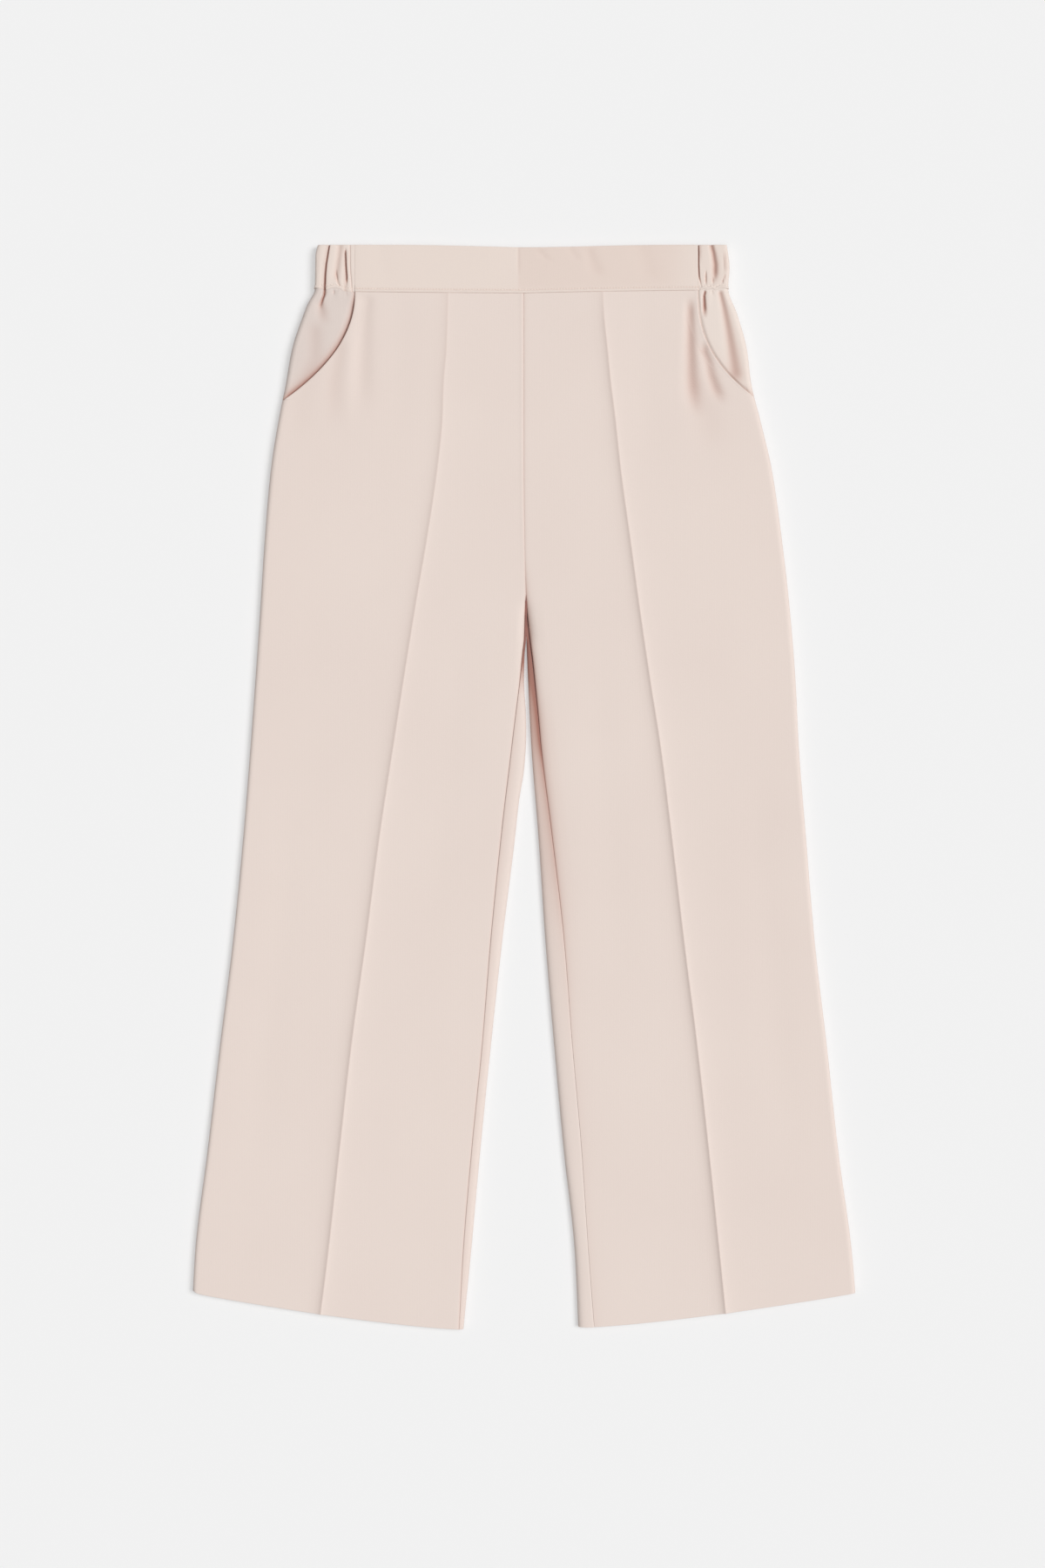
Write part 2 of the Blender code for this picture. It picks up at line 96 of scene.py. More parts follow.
RIGHT = Side(
    name="right",
    sign=-1,
    hem_low=958.0,
    corner=3.6,
    tuck=0.8,
    shade=1.0,
    waist=[
        Waist(0, 42.9),
        Waist(60, 42.6),
        Waist(120, 42.0),
        Waist(152, 41.6),
        Waist(157, 41.3),
        Waist(163, 39.1),
        Waist(168.4, 38.1),
        Waist(173.8, 39.2),
        Waist(175.7, 39.9),
        Waist(178.4, 39.0),
        Waist(187, 37.8),
    ],
    outside=[
        Outside(0, 182.5, 67.0),
        Outside(10, 184.5, 67.0),
        Outside(38, 185.0, 67.2),
        Outside(52, 191.6, 67.5),
        Outside(61, 195.2, 67.7),
        Outside(92, 205.4, 68.7),
        Outside(122, 210.8, 71.2),
        Outside(153, 217.0, 72.2),
        Outside(199, 224.2, 76.9),
        Outside(261, 229.6, 86.2),
        Outside(322, 233.5, 96.6),
        Outside(445, 242.3, 116.0),
        Outside(522, 248.5, 127.7),
        Outside(615, 257.7, 139.8),
        Outside(707, 269.2, 152.6),
        Outside(799, 280.0, 163.0),
        Outside(891, 291.2, 173.2),
        Outside(960, 294.5, 181.8),
    ],
    inside=[
        Inside(311, -1.5, -1.5, 1.0, 8),
        Inside(314.5, -1.45, -1.52, 0.92, 8),
        Inside(325, -1.0, -1.65, 0.66, 8),
        Inside(346, -0.4, -1.8, 0.36, 8),
        Inside(361, 1.3, -0.5, 0.38, 8),
        Inside(384, 3.7, 0.0, 0.42, 8),
        Inside(415, 7.7, -1.8, 0.48, 8),
        Inside(430, 9.6, -2.1, 0.5, 8),
        Inside(461, 13.3, -0.4, 0.5, 8),
        Inside(491, 17.0, 4.4, 0.5, 8),
        Inside(522, 20.5, 7.7, 0.5, 8),
        Inside(615, 29.8, 19.2, 0.5, 8),
        Inside(707, 37.3, 29.2, 0.5, 8),
        Inside(799, 46.5, 38.5, 0.5, 8),
        Inside(891, 54.1, 46.9, 0.5, 8),
        Inside(960, 57.7, 53.8, 0.5, 8),
    ],
    mouth=Mouth(149.4, 63.5, 95.3, 2.13),
    strip=[
        Strip(311, 2.2, 2.2),
        Strip(346, 2.0, 2.1),
        Strip(368, 1.2, 1.5),
        Strip(384, 0.45, 0.7),
        Strip(400, 0.0, 0.3),
        Strip(960, 0.0, 0.2),
    ],
)
LEFT = Side(
    name="left",
    sign=1,
    hem_low=956.0,
    corner=0.6,
    tuck=2.6,
    shade=0.12,
    waist=[
        Waist(0, 42.9),
        Waist(60, 41.6),
        Waist(110, 40.9),
        Waist(150, 40.4),
        Waist(155, 40.2),
        Waist(158.5, 39.2),
        Waist(162, 39.8),
        Waist(165.5, 38.9),
        Waist(168.5, 40.2),
        Waist(172, 38.6),
        Waist(183, 38.6),
    ],
    outside=[
        Outside(0, 179.2, 69.0),
        Outside(22, 181.5, 69.0),
        Outside(38, 180.5, 69.3),
        Outside(61, 188.5, 70.4),
        Outside(92, 197.0, 73.5),
        Outside(122, 200.8, 76.5),
        Outside(153, 208.5, 80.4),
        Outside(199, 219.2, 85.4),
        Outside(261, 228.1, 93.9),
        Outside(322, 235.0, 102.2),
        Outside(384, 240.0, 111.3),
        Outside(445, 243.1, 120.8),
        Outside(522, 249.2, 130.4),
        Outside(615, 257.0, 141.3),
        Outside(707, 267.7, 152.9),
        Outside(799, 277.7, 163.1),
        Outside(891, 290.0, 172.7),
        Outside(960, 295.5, 179.7),
    ],
    inside=[
        Inside(311, 1.5, 1.5, 1.0, 10),
        Inside(314.5, 1.58, 1.52, 0.92, 10),
        Inside(325, 2.3, 1.65, 0.66, 10),
        Inside(346, 4.6, 1.8, 0.36, 12),
        Inside(368, 7.4, 2.5, 0.39, 14),
        Inside(384, 9.1, 3.2, 0.42, 16),
        Inside(415, 12.3, 4.6, 0.48, 18),
        Inside(445, 15.0, 6.2, 0.5, 18),
        Inside(522, 24.6, 12.3, 0.5, 18),
        Inside(615, 35.4, 18.5, 0.5, 14),
        Inside(707, 42.7, 26.2, 0.5, 11),
        Inside(799, 50.8, 34.6, 0.5, 9),
        Inside(891, 57.0, 44.6, 0.5, 8),
        Inside(960, 62.3, 47.7, 0.5, 8),
    ],
    mouth=Mouth(153.4, 48.6, 91.5, 2.48),
    strip=[
        Strip(311, 2.2, 2.2),
        Strip(350, 1.9, 2.0),
        Strip(375, 1.3, 2.0),
        Strip(400, 0.85, 1.9),
        Strip(437, 0.6, 1.7),
        Strip(461, 0.42, 1.2),
        Strip(484, 0.32, 1.0),
        Strip(553, 0.2, 0.7),
        Strip(630, 0.05, 0.25),
        Strip(784, 0.0, 0.0),
        Strip(960, 0.0, 0.0),
    ],
)


def follow(rows, column, at):
    """One column of a table, at any place in its first column, on a smooth curve that doesn't overshoot."""
    places = np.array([row[0] for row in rows], float)
    values = np.array([getattr(row, column) for row in rows], float)
    slopes = np.diff(values) / np.diff(places)
    before = np.append(slopes[:1], slopes)
    after = np.append(slopes, slopes[-1:])
    same_way = before * after > 0
    smooth = np.where(same_way, 2 * before * after / np.where(same_way, before + after, 1.0), 0.0)
    k = np.clip(np.searchsorted(places, at, side="right") - 1, 0, len(slopes) - 1)
    span = places[k + 1] - places[k]
    t = np.clip((at - places[k]) / span, 0.0, 1.0)
    start = (1 + 2 * t) * (1 - t) ** 2 * values[k] + t * (1 - t) ** 2 * span * smooth[k]
    end = t * t * (3 - 2 * t) * values[k + 1] - t * t * (1 - t) * span * smooth[k + 1]
    return start + end


def ramp(low, high, value):
    """0 below low, 1 above high, and an even curve between them."""
    t = np.clip((value - low) / (high - low), 0.0, 1.0)
    return t * t * (3 - 2 * t)


def side_edge(side, drop):
    return follow(side.outside, "edge", drop)


def inseam(side, drop):
    """Across of the inseam, or of the seam down the middle above the fork."""
    middle = side.sign * follow(MIDDLE, "x", drop)
    return np.where(drop < FRONT_FORK, middle, follow(side.inside, "seam", drop))


def inner_edge(side, drop):
    """Across of the inner outline, or of the seam down the middle above the fork."""
    middle = side.sign * follow(MIDDLE, "x", drop)
    return np.where(drop < FRONT_FORK, middle, follow(side.inside, "edge", drop))


def loft(drop):
    return follow(LOFT, "height", drop)


def half_loft(drop):
    return (loft(drop) - SEAM) / 2


def waist_seam(side, across):
    """Drop of the seam between the waistband and the legs, which sags in front and puckers at the elastic."""
    return follow(side.waist, "drop", across)


def hem(side, across, edge):
    """Drop of the hem, with the corner at the side seam rounded off."""
    share = np.clip((across - HEM_INNER) / (HEM_OUTER - HEM_INNER), 0.0, 1.0)
    corner = side.corner * np.exp(-np.maximum(edge - across, 0.0) / CORNER_ROUND)
    return side.hem_low - (side.hem_low - LENGTH + HEM_RISE) * share**HEM_BOW - corner


def tilted(side, level, across):
    """Drop of a place on a row of cloth, which follows the waist seam above and the hem below."""
    above = (waist_seam(side, across) - BAND_DEPTH) * (1 - ramp(BAND_DEPTH, WAIST_BLEND, level))
    below = (hem(side, across, side_edge(side, level)) - LENGTH) * ramp(HEM_FROM, LENGTH, level)
    return level + above + below


def side_fold(drop, path):
    """(distance in from the edge, height from the side seam, turn) at a length of cloth from that seam."""
    radius = half_loft(drop) - LIP
    turn = np.clip((path - LIP) / radius, 0.0, np.pi / 2)
    flat = np.maximum(path - LIP - radius * np.pi / 2, 0.0)
    return radius * (1 - np.cos(turn)) + flat, np.minimum(path, LIP) + radius * np.sin(turn), turn


def path_to(drop, inward):
    """The length of cloth from the side seam to a place that far in from the edge."""
    radius = half_loft(drop) - LIP
    bent = LIP + radius * np.arccos(np.clip(1 - inward / radius, -1.0, 1.0))
    return np.where(inward >= radius, LIP + radius * np.pi / 2 + inward - radius, bent)


def path_at(side, level, line):
    """The length of cloth from the side seam, along a row, to a line whose across is known at any drop."""
    drop = level
    for _ in range(4):
        across = line(drop)
        drop = tilted(side, level, across)
    return path_to(drop, side_edge(side, drop) - across)


def inner_dip(side, drop, across):
    """How far the upper face has sunk towards the inside leg, down a gentle slope and then round the edge."""
    inward = np.maximum(across - inner_edge(side, drop), 0.0)
    slope = np.maximum(1 - inward / follow(side.inside, "reach", drop), 0.0) ** 2
    turn = 1 - np.sqrt(1 - np.maximum(1 - inward / INNER_ROUND, 0.0) ** 2)
    share = INNER_ROUND_SHARE * ramp(BACK_FORK, BACK_FORK + FORK_TURN, drop)
    return loft(drop) * (1 - follow(side.inside, "rise", drop)) * (slope + (turn - slope) * share)


def spread(start, end, first, last, between):
    """Places from start to end in each row: fixed steps in from each end, and even ones between those."""
    near = start[:, None] + np.array(first)[None, :]
    far = end[:, None] - np.array(last[::-1])[None, :]
    shares = np.arange(1, between + 1)[None, :] / (between + 1)
    return np.hstack([near, near[:, -1:] + (far[:, :1] - near[:, -1:]) * shares, far])


def even(start, end, step):
    """Places from start up to, but not at, end, about a step apart."""
    return list(np.linspace(start, end, max(round((end - start) / step), 1), endpoint=False))


# Painted shade: where shade falls in folds, at seams and at the pocket mouths, the cloth's colour is mixed
# towards these dark warm colours.
PAINTED_SHADE_COLOUR = (0.57, 0.30, 0.225)
DEEPEST_PAINTED_SHADE_COLOUR = (0.30, 0.135, 0.112)
FULL_PAINTED_SHADE = 2.2
PAINTED_SHADE_GAIN = 1.6


def crepe(name, colour, blush, grain_height):
    """Matt crepe: a fine pebbled grain, a faint cross weave, and colour that drifts a little over the cloth.

    Where shade falls, in a deep fold, at a seam or beside a pocket mouth, shade is painted into the colour,
    which is mixed towards a dark warm colour by as much as the mesh's painted shade attribute holds.
    """
    material = bpy.data.materials.new(name)
    material.use_nodes = True
    nodes, links = material.node_tree.nodes, material.node_tree.links
    shader = nodes["Principled BSDF"]
    shader.inputs["Roughness"].default_value = 0.82
    shader.inputs["Specular IOR Level"].default_value = 0.25
    shader.inputs["Sheen Weight"].default_value = 0.12
    shader.inputs["Sheen Roughness"].default_value = 0.5
    place = nodes.new("ShaderNodeTexCoord")

    drift = nodes.new("ShaderNodeTexNoise")
    drift.inputs["Scale"].default_value = 7.0
    drift.inputs["Detail"].default_value = 2.0
    links.new(place.outputs["Object"], drift.inputs["Vector"])
    tint = nodes.new("ShaderNodeMix")
    tint.data_type = "RGBA"
    tint.inputs["A"].default_value = (*colour, 1.0)
    tint.inputs["B"].default_value = (*blush, 1.0)
    links.new(drift.outputs["Fac"], tint.inputs["Factor"])

    depth = nodes.new("ShaderNodeAttribute")
    depth.attribute_name = "flush"
    painted_shade_tone = nodes.new("ShaderNodeMix")
    painted_shade_tone.data_type = "RGBA"
    painted_shade_tone.inputs["A"].default_value = (*PAINTED_SHADE_COLOUR, 1.0)
    painted_shade_tone.inputs["B"].default_value = (*DEEPEST_PAINTED_SHADE_COLOUR, 1.0)
    links.new(depth.outputs["Fac"], painted_shade_tone.inputs["Factor"])
    share = nodes.new("ShaderNodeMath")
    share.operation = "MULTIPLY"
    share.inputs[1].default_value = PAINTED_SHADE_GAIN
    links.new(depth.outputs["Fac"], share.inputs[0])
    painted_shade_mix = nodes.new("ShaderNodeMix")
    painted_shade_mix.data_type = "RGBA"
    links.new(share.outputs["Value"], painted_shade_mix.inputs["Factor"])
    links.new(tint.outputs["Result"], painted_shade_mix.inputs["A"])
    links.new(painted_shade_tone.outputs["Result"], painted_shade_mix.inputs["B"])

    grain = nodes.new("ShaderNodeTexNoise")
    grain.inputs["Scale"].default_value = 1300.0
    grain.inputs["Detail"].default_value = 3.0
    grain.inputs["Roughness"].default_value = 0.6
    links.new(place.outputs["Object"], grain.inputs["Vector"])
    speckle = nodes.new("ShaderNodeMix")
    speckle.data_type = "RGBA"
    speckle.blend_type = "MULTIPLY"
    speckle.inputs["Factor"].default_value = 0.05
    links.new(painted_shade_mix.outputs["Result"], speckle.inputs["A"])
    links.new(grain.outputs["Fac"], speckle.inputs["B"])
    links.new(speckle.outputs["Result"], shader.inputs["Base Color"])

    yarn = nodes.new("ShaderNodeTexWave")
    yarn.wave_type = "BANDS"
    yarn.bands_direction = "X"
    yarn.inputs["Scale"].default_value = 260.0
    yarn.inputs["Distortion"].default_value = 2.5
    yarn.inputs["Detail"].default_value = 2.0
    yarn.inputs["Detail Scale"].default_value = 1.5
    links.new(place.outputs["Object"], yarn.inputs["Vector"])
    pebble = nodes.new("ShaderNodeMath")
    pebble.operation = "MULTIPLY_ADD"
    pebble.inputs[1].default_value = 0.25
    links.new(yarn.outputs["Fac"], pebble.inputs[0])
    links.new(grain.outputs["Fac"], pebble.inputs[2])
    relief = nodes.new("ShaderNodeBump")
    relief.inputs["Strength"].default_value = 0.5
    relief.inputs["Distance"].default_value = grain_height * MM
    links.new(pebble.outputs["Value"], relief.inputs["Height"])
    links.new(relief.outputs["Normal"], shader.inputs["Normal"])
    return material


def cloth(name, x, drop, height, wall, material, flush=None, turned=False, left_out=None, rounds=1):
    """A sheet of cloth through rows of places on its outer face, with its thickness on the inner one.

    The rows run down the garment. Their places run from the wearer's right to the left, or the other way
    where the sheet is turned. A face that is left out is known by its first row and its first place.
    """
    last_row, last_point = x.shape[0] - 1, x.shape[1] - 1
    sheet = bmesh.new()
    bmesh.ops.create_grid(sheet, x_segments=last_point, y_segments=last_row, size=1.0)
    depth = sheet.verts.layers.float.new("flush")
    where = {}
    for vertex in sheet.verts:
        row = round((1 - vertex.co.y) / 2 * last_row)
        where[vertex] = (row, round((vertex.co.x + 1) / 2 * last_point))
    if left_out:
        first = {face: map(min, zip(*(where[vertex] for vertex in face.verts))) for face in sheet.faces}
        spare = [face for face in sheet.faces if left_out(*first[face])]
        bmesh.ops.delete(sheet, geom=spare, context="FACES")
    # The shade painted into each place, as a share of the fullest.
    flush = np.zeros(x.shape) if flush is None else np.clip(flush / FULL_PAINTED_SHADE, 0.0, 1.0)
    for vertex in sheet.verts:
        at = where[vertex]
        vertex.co = (x[at] * MM, (LENGTH / 2 - drop[at]) * MM, height[at] * MM)
        vertex[depth] = flush[at]
    if turned:
        bmesh.ops.reverse_faces(sheet, faces=sheet.faces)
    mesh = bpy.data.meshes.new(name)
    sheet.to_mesh(mesh)
    sheet.free()
    mesh.materials.append(material)
    mesh.shade_smooth()
    piece = bpy.data.objects.new(name, mesh)
    bpy.context.scene.collection.objects.link(piece)
    thickness = piece.modifiers.new("thickness", "SOLIDIFY")
    thickness.thickness = wall * MM
    thickness.offset = -1.0
    if rounds:
        softness = piece.modifiers.new("softness", "SUBSURF")
        softness.levels = rounds
        softness.render_levels = rounds
    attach(piece, "root")
    return piece


SIDE_STEPS = [0, 0.5, 1.4, 2.6, 4.0, 5.6, 7.4, 11]
BACK_GATHERS = 30
BACK_GATHER_FADE = 60.0
BACK_GATHER_DEPTH = 0.7
BACK_CREASE_DEPTH = 0.35
BACK_CREASE_REACH = 2.5

blush_crepe = crepe("blush crepe", (0.812, 0.704, 0.644), (0.774, 0.660, 0.604), 0.09)


def lower_face(side, level, path):
    """The face that lies on the surface, at a length of cloth in from the side seam."""
    drop = level
    for _ in range(2):
        inward, rise, _turn = side_fold(drop, path)
        across = side_edge(side, drop) - inward
        drop = tilted(side, level, across)
    gather = (1 - np.cos(np.pi * BACK_GATHERS * across / side_edge(side, BAND_DEPTH))) / 2
    lifted = BACK_GATHER_DEPTH * gather * np.maximum(1 - (level - BAND_DEPTH) / BACK_GATHER_FADE, 0.0) ** 2
    lifted *= ramp(0, 12, inward)
    pressed = np.exp(-np.abs(across - follow(side.outside, "crease", drop)) / BACK_CREASE_REACH)
    lifted += BACK_CREASE_DEPTH * pressed * ramp(BAND_DEPTH, 300, drop)
    return side.sign * across, drop, half_loft(drop) - rise + lifted


def inner_turn(side, level, angle):
    """Where the back turns up from the surface round the inside leg, or round the fork at the crotch."""
    drop = tilted(side, level, inner_edge(side, level))
    radius = loft(drop) * follow(side.inside, "rise", drop)
    inward = radius * (1 - np.sin(np.radians(angle)))
    down_leg = ramp(0, FORK_TURN, level - BACK_FORK)
    across = inner_edge(side, drop) + SEAM / 2 + inward * down_leg
    return side.sign * across, drop - inward * (1 - down_leg), radius * (1 - np.cos(np.radians(angle)))


def strip_depth(side, level):
    """How far the back lies under the front where they meet at the inseam: deepest close to the crotch."""
    return side.tuck * (1 - ramp(FRONT_FORK + 10, STRIP_END, level))


def turned_over(side, level, share):
    """Where the back has turned over towards the inseam, on the upper face."""
    drop = tilted(side, level, inner_edge(side, level))
    edge = inner_edge(side, drop) + SEAM / 2
    width = inseam(side, drop) - SEAM / 2 - edge
    across = edge + width * (1 - np.cos(share * np.pi / 2))
    height = loft(drop) - inner_dip(side, drop, across - SEAM / 2) - strip_depth(side, level) * share
    return side.sign * across, drop, height


def back(side):
    """A back leg, which turns up round the inside leg to meet the front at the inseam."""
    above = [BAND_DEPTH + SEAM, 43, 45] + even(48, 110, 6) + even(110, 311, 12) + [311]
    gusset = [312, 319, 325, 335]
    leg = [BACK_FORK, 349, 352, 356] + even(361, 470, 6) + even(470, 940, 12)
    leg += [940, 950, 955, 957, LENGTH - 0.4, LENGTH]
    levels = np.array(above + gusset + leg)
    turn = [inner_turn(side, levels, angle) for angle in (0, 22, 44, 66)]
    over = [turned_over(side, levels, share) for share in (0, 0.3, 0.55, 0.78, 0.93, 1)]
    edge = side_edge(side, levels)
    last = np.where(levels < BACK_FORK, side.sign * over[0][0], side.sign * turn[0][0])
    end = path_to(levels, edge - last)
    paths = spread(np.zeros(len(levels)), end, SIDE_STEPS, [0], 40)
    flat = lower_face(side, np.repeat(levels[:, None], paths.shape[1], axis=1), paths)
    for k in range(3):
        flat[k][levels >= BACK_FORK, -1] = turn[0][k][levels >= BACK_FORK]
    x, drop, height = (
        np.hstack([flat[k]] + [column[k][:, None] for column in turn[1:] + over]) for k in range(3)
    )
    gusset_row = len(above)
    fork_row = gusset_row + len(gusset)
    last_flat = paths.shape[1] - 1

    def left_out(row, point):
        turning = last_flat <= point < last_flat + len(turn)
        return point >= last_flat and row < gusset_row or turning and row < fork_row

    name = f"back_leg_{side.name}"
    # Shade is painted on the turned-over strip, deepening towards the inseam and the crotch.
    to_seam = np.maximum(inseam(side, drop) - side.sign * x, 0.0)
    all_over, at_seam = follow(side.strip, "flush", drop), follow(side.strip, "seam", drop)
    flush = all_over + (at_seam - all_over) * np.exp(-to_seam / STRIP_SHADE)
    flush = flush * (np.arange(x.shape[1])[None, :] > last_flat)
    turned = side is RIGHT
    piece = cloth(name, x, drop, height, CLOTH, blush_crepe, flush, turned=turned, left_out=left_out)
    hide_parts(f"back_{side.name}")
    return piece


back_legs = {side.name: back(side) for side in (RIGHT, LEFT)}

# -------------------- pocket backs
# Each pocket's back is a cut of the same crepe that is also the side of the hip. It shows in the slanted
# mouth, is drawn up in gathers where it is sewn to the elastic, and runs on under the front.

POCKET_UNDER = {"right": 1.8, "left": 1.15}
POCKET_SEWN = 1.15
POCKET_FREED = 16.0
POCKET_HIDDEN = 2.8
POCKET_HIDDEN_REACH = 6.0
POCKET_LAP = 28.0
POCKET_LAP_STEPS = (0.04, 0.1, 0.17, 0.26, 0.4, 0.7, 1.0)
POCKET_BAG_END = 168.0
POCKET_BAG_SIDE = 10.0
POCKET_TUCK = {"right": 7.0, "left": 2.4}
POCKET_SINK = {"right": 1.3, "left": 0.1}
POCKET_SINK_REACH = 9.0
POCKET_SINK_END = 30.0
CREASE_REACH = 3.2
CREASE_PAINTED_SHADE = 0.13
# share of the height, reach
CREASE_EDGE = (0.4, 2.0)
CREASE_FACE = (0.6, 13.0)
CREASE = {
    "right": [Loft(42, 0.4), Loft(168, 1.15), Loft(322, 1.5), Loft(783, 2.0), Loft(960, 2.0)],
    "left": [Loft(42, 0.5), Loft(76, 1.4), Loft(168, 1.75), Loft(322, 2.1), Loft(783, 2.5), Loft(960, 2.5)],
}

# A fold is a trough down a line of (drop, across) places, or a ridge where its depth is less than 0. Its
# width runs from the first value at its top to the second at its foot, and its ends fade over the lengths top
# and foot. A power of 2 makes it round and 1 makes it sharp. Its last value is the shade painted into its
# colour.
Fold = namedtuple("Fold", "line width depth power top foot flush")
HIP_FOLDS = {
    "right": [
        Fold(
            ((38, 176.3), (43.8, 176.6), (48.4, 178.4), (53, 179.9), (58, 180.0)),
            (0.9, 1.6), 2.5, 2, 0.1, 12, 1.5,
        ),
        Fold(((54, 180.0), (64.5, 179.4), (74, 176.4)), (3.4, 6.6), 1.15, 2, 7, 18, 0.34),
        Fold(((42, 168.0), (46, 168.5)), (0.8, 1.2), 1.1, 1.7, 2.5, 6, 0.55),
        Fold(((43.5, 156.9), (47, 156.3)), (0.8, 1.6), 1.1, 1.8, 2, 9, 0.6),
        Fold(((78, 187.0), (99, 187.5), (122, 199.0), (137, 207.0)), (7.0, 9.0), 0.75, 2, 14, 6, 0.18),
        Fold(((40, 163.4), (52, 164.0)), (2.4, 3.0), -0.4, 2, 0.1, 14, 0.0),
        Fold(((40, 172.2), (52, 173.2)), (2.0, 2.6), -0.4, 2, 0.1, 14, 0.0),
    ],
    "left": [
        Fold(((42, 159.4), (45.3, 158.6), (57, 158.9), (66, 158.4)), (0.9, 2.0), 2.1, 2, 2, 12, 1.35),
        Fold(
            ((43, 172.8), (45.3, 173.4), (57, 176.0), (72, 178.8), (91.5, 182.0), (124, 186.6)),
            (2.2, 6.2), 1.05, 2, 4, 12, 0.75,
        ),
        Fold(((42, 165.8), (47, 166.8)), (1.0, 1.6), 0.8, 1.7, 2, 8, 0.25),
        Fold(((42, 162.8), (60, 163.6)), (2.0, 3.4), -0.35, 2, 0.1, 18, 0.0),
    ],
}
# The shade painted into each fold is moved aside by this share of its width, towards its shaded flank.
PAINTED_SHADE_ASIDE = 0.4
# Painted shade at each pocket mouth: a dark line close to the rim and a wider shade beside it, fainter near
# the waist, and on the wearer's left faint but for near the foot.
MOUTH_LINE_PAINTED_SHADE = 0.9
MOUTH_LINE_WIDTH = 0.8
MOUTH_WIDE_PAINTED_SHADE = 1.25
MOUTH_SHADE_WIDTH = (2.3, 5.4)
MOUTH_SHADE_AT_WAIST = 0.35
MOUTH_SHADE_FULL = 14.0
MOUTH_SHADE_AT_FOOT = 0.25


def fold_sum(folds, drop, across, value, aside=0.0):
    """The depth or the painted shade of all the folds together, moved aside by a share of each one's width.
    """
    total = np.zeros(np.broadcast(drop, across).shape)
    for fold in folds:
        drops, places = zip(*fold.line)
        width = np.interp(drop, (drops[0], drops[-1]), fold.width)
        centre = np.interp(drop, drops, places) + aside * width
        along = ramp(drops[0] - fold.top, drops[0], drop) * (1 - ramp(drops[-1] - fold.foot, drops[-1], drop))
        total += getattr(fold, value) * along * np.exp(-((np.abs(across - centre) / width) ** fold.power))
    return total


def fold_depth(folds, drop, across):
    return fold_sum(folds, drop, across, "depth")


def fold_painted_shade(folds, drop, across, sign):
    """The shade painted into the folds, strongest on the flank of each that faces the wearer's right, away
    from the window lamp.
    """
    return fold_sum(folds, drop, across, "flush", PAINTED_SHADE_ASIDE * sign)


def crease(side, drop, across):
    """Height of the pressed crease over the face beside it, steeper on the wearer's right of it."""
    aside = side.sign * (across - follow(side.outside, "crease", drop))
    away = np.abs(aside)
    right_of_it = np.exp(-away / CREASE_REACH)
    left_of_it = sum(share * np.exp(-away / reach) for share, reach in (CREASE_EDGE, CREASE_FACE))
    return follow(CREASE[side.name], "height", drop) * np.where(aside < 0, right_of_it, left_of_it)


def pocket_mouth(side, drop):
    """How far in from the side of the garment the pocket mouth is."""
    share = np.maximum((drop - BAND_DEPTH) / side.mouth.depth, 0.0)
    across = side.mouth.start + side.mouth.width * share**side.mouth.power
    return np.where(share >= 1, 0.0, np.maximum(side_edge(side, drop) - across, 0.0))


def upper_face(side, level, path, inset=0.0):
    """The upper face, or one that far under it, at a length of cloth in from the side seam."""
    drop = level
    for _ in range(4):
        inward, rise, turn = side_fold(drop, path)
        across = side_edge(side, drop) - inward
        drop = tilted(side, level, across)
    height = loft(drop) - half_loft(drop) + rise
    height = height + crease(side, drop, across) - inner_dip(side, drop, across)
    return side.sign * (across - inset * np.cos(turn)), drop, height - inset * np.sin(turn)


def mouth_line(side):
    """The pocket mouth as a line of across."""
    return lambda drop: side_edge(side, drop) - pocket_mouth(side, drop)


def pocket_rows(mouth_end):
    """Drops of a pocket back's rows, closest at the waist seam and where the mouth ends."""
    shown = [BAND_DEPTH + SEAM, 42.3, 42.8] + even(43.4, 60, 0.9) + even(60, mouth_end - 6, 1.8)
    foot = even(mouth_end - 6, mouth_end + 6, 1) + even(mouth_end + 6, POCKET_BAG_END, 8)
    return np.array(shown + foot + [POCKET_BAG_END])


def pocket_inset(side, grid, paths, hidden, past_mouth, mouth_end):
    """How far the pocket back lies under the face of the garment, without its own folds."""
    to_mouth = np.maximum(hidden - paths, 0.0)
    free = ramp(BAND_DEPTH, BAND_DEPTH + POCKET_FREED, grid)
    tucking = np.minimum(POCKET_TUCK[side.name] * (0.4 + 0.6 * free), 0.7 * hidden)
    under = np.clip(1 - (to_mouth - 0.4) / np.maximum(tucking, 0.6), 0.0, 1.0)
    deep = POCKET_SEWN + (POCKET_UNDER[side.name] - POCKET_SEWN) * free
    inset = deep * under * under * (3 - 2 * under)
    inset += POCKET_HIDDEN * ramp(0, POCKET_HIDDEN_REACH, past_mouth) * free
    away = ramp(0, 9, paths) * free * (1 - ramp(mouth_end - POCKET_SINK_END, mouth_end, grid))
    return inset + POCKET_SINK[side.name] * np.exp(-to_mouth / POCKET_SINK_REACH) * away


def mouth_painted_shade(side, grid, down, to_mouth):
    """The shade that the rim of the mouth casts on the pocket back, painted into its colour as a dark warm
    line and a wider shade.
    """
    width = MOUTH_SHADE_WIDTH[0] + (MOUTH_SHADE_WIDTH[1] - MOUTH_SHADE_WIDTH[0]) * down
    edge = MOUTH_LINE_PAINTED_SHADE * np.exp(-to_mouth / MOUTH_LINE_WIDTH)
    edge = edge + MOUTH_WIDE_PAINTED_SHADE * np.exp(-((to_mouth / width) ** 1.4))
    full = ramp(BAND_DEPTH, BAND_DEPTH + MOUTH_SHADE_FULL, grid)
    edge = edge * (MOUTH_SHADE_AT_WAIST + (1 - MOUTH_SHADE_AT_WAIST) * full)
    return edge * (side.shade + (1 - side.shade) * MOUTH_SHADE_AT_FOOT * down**4)


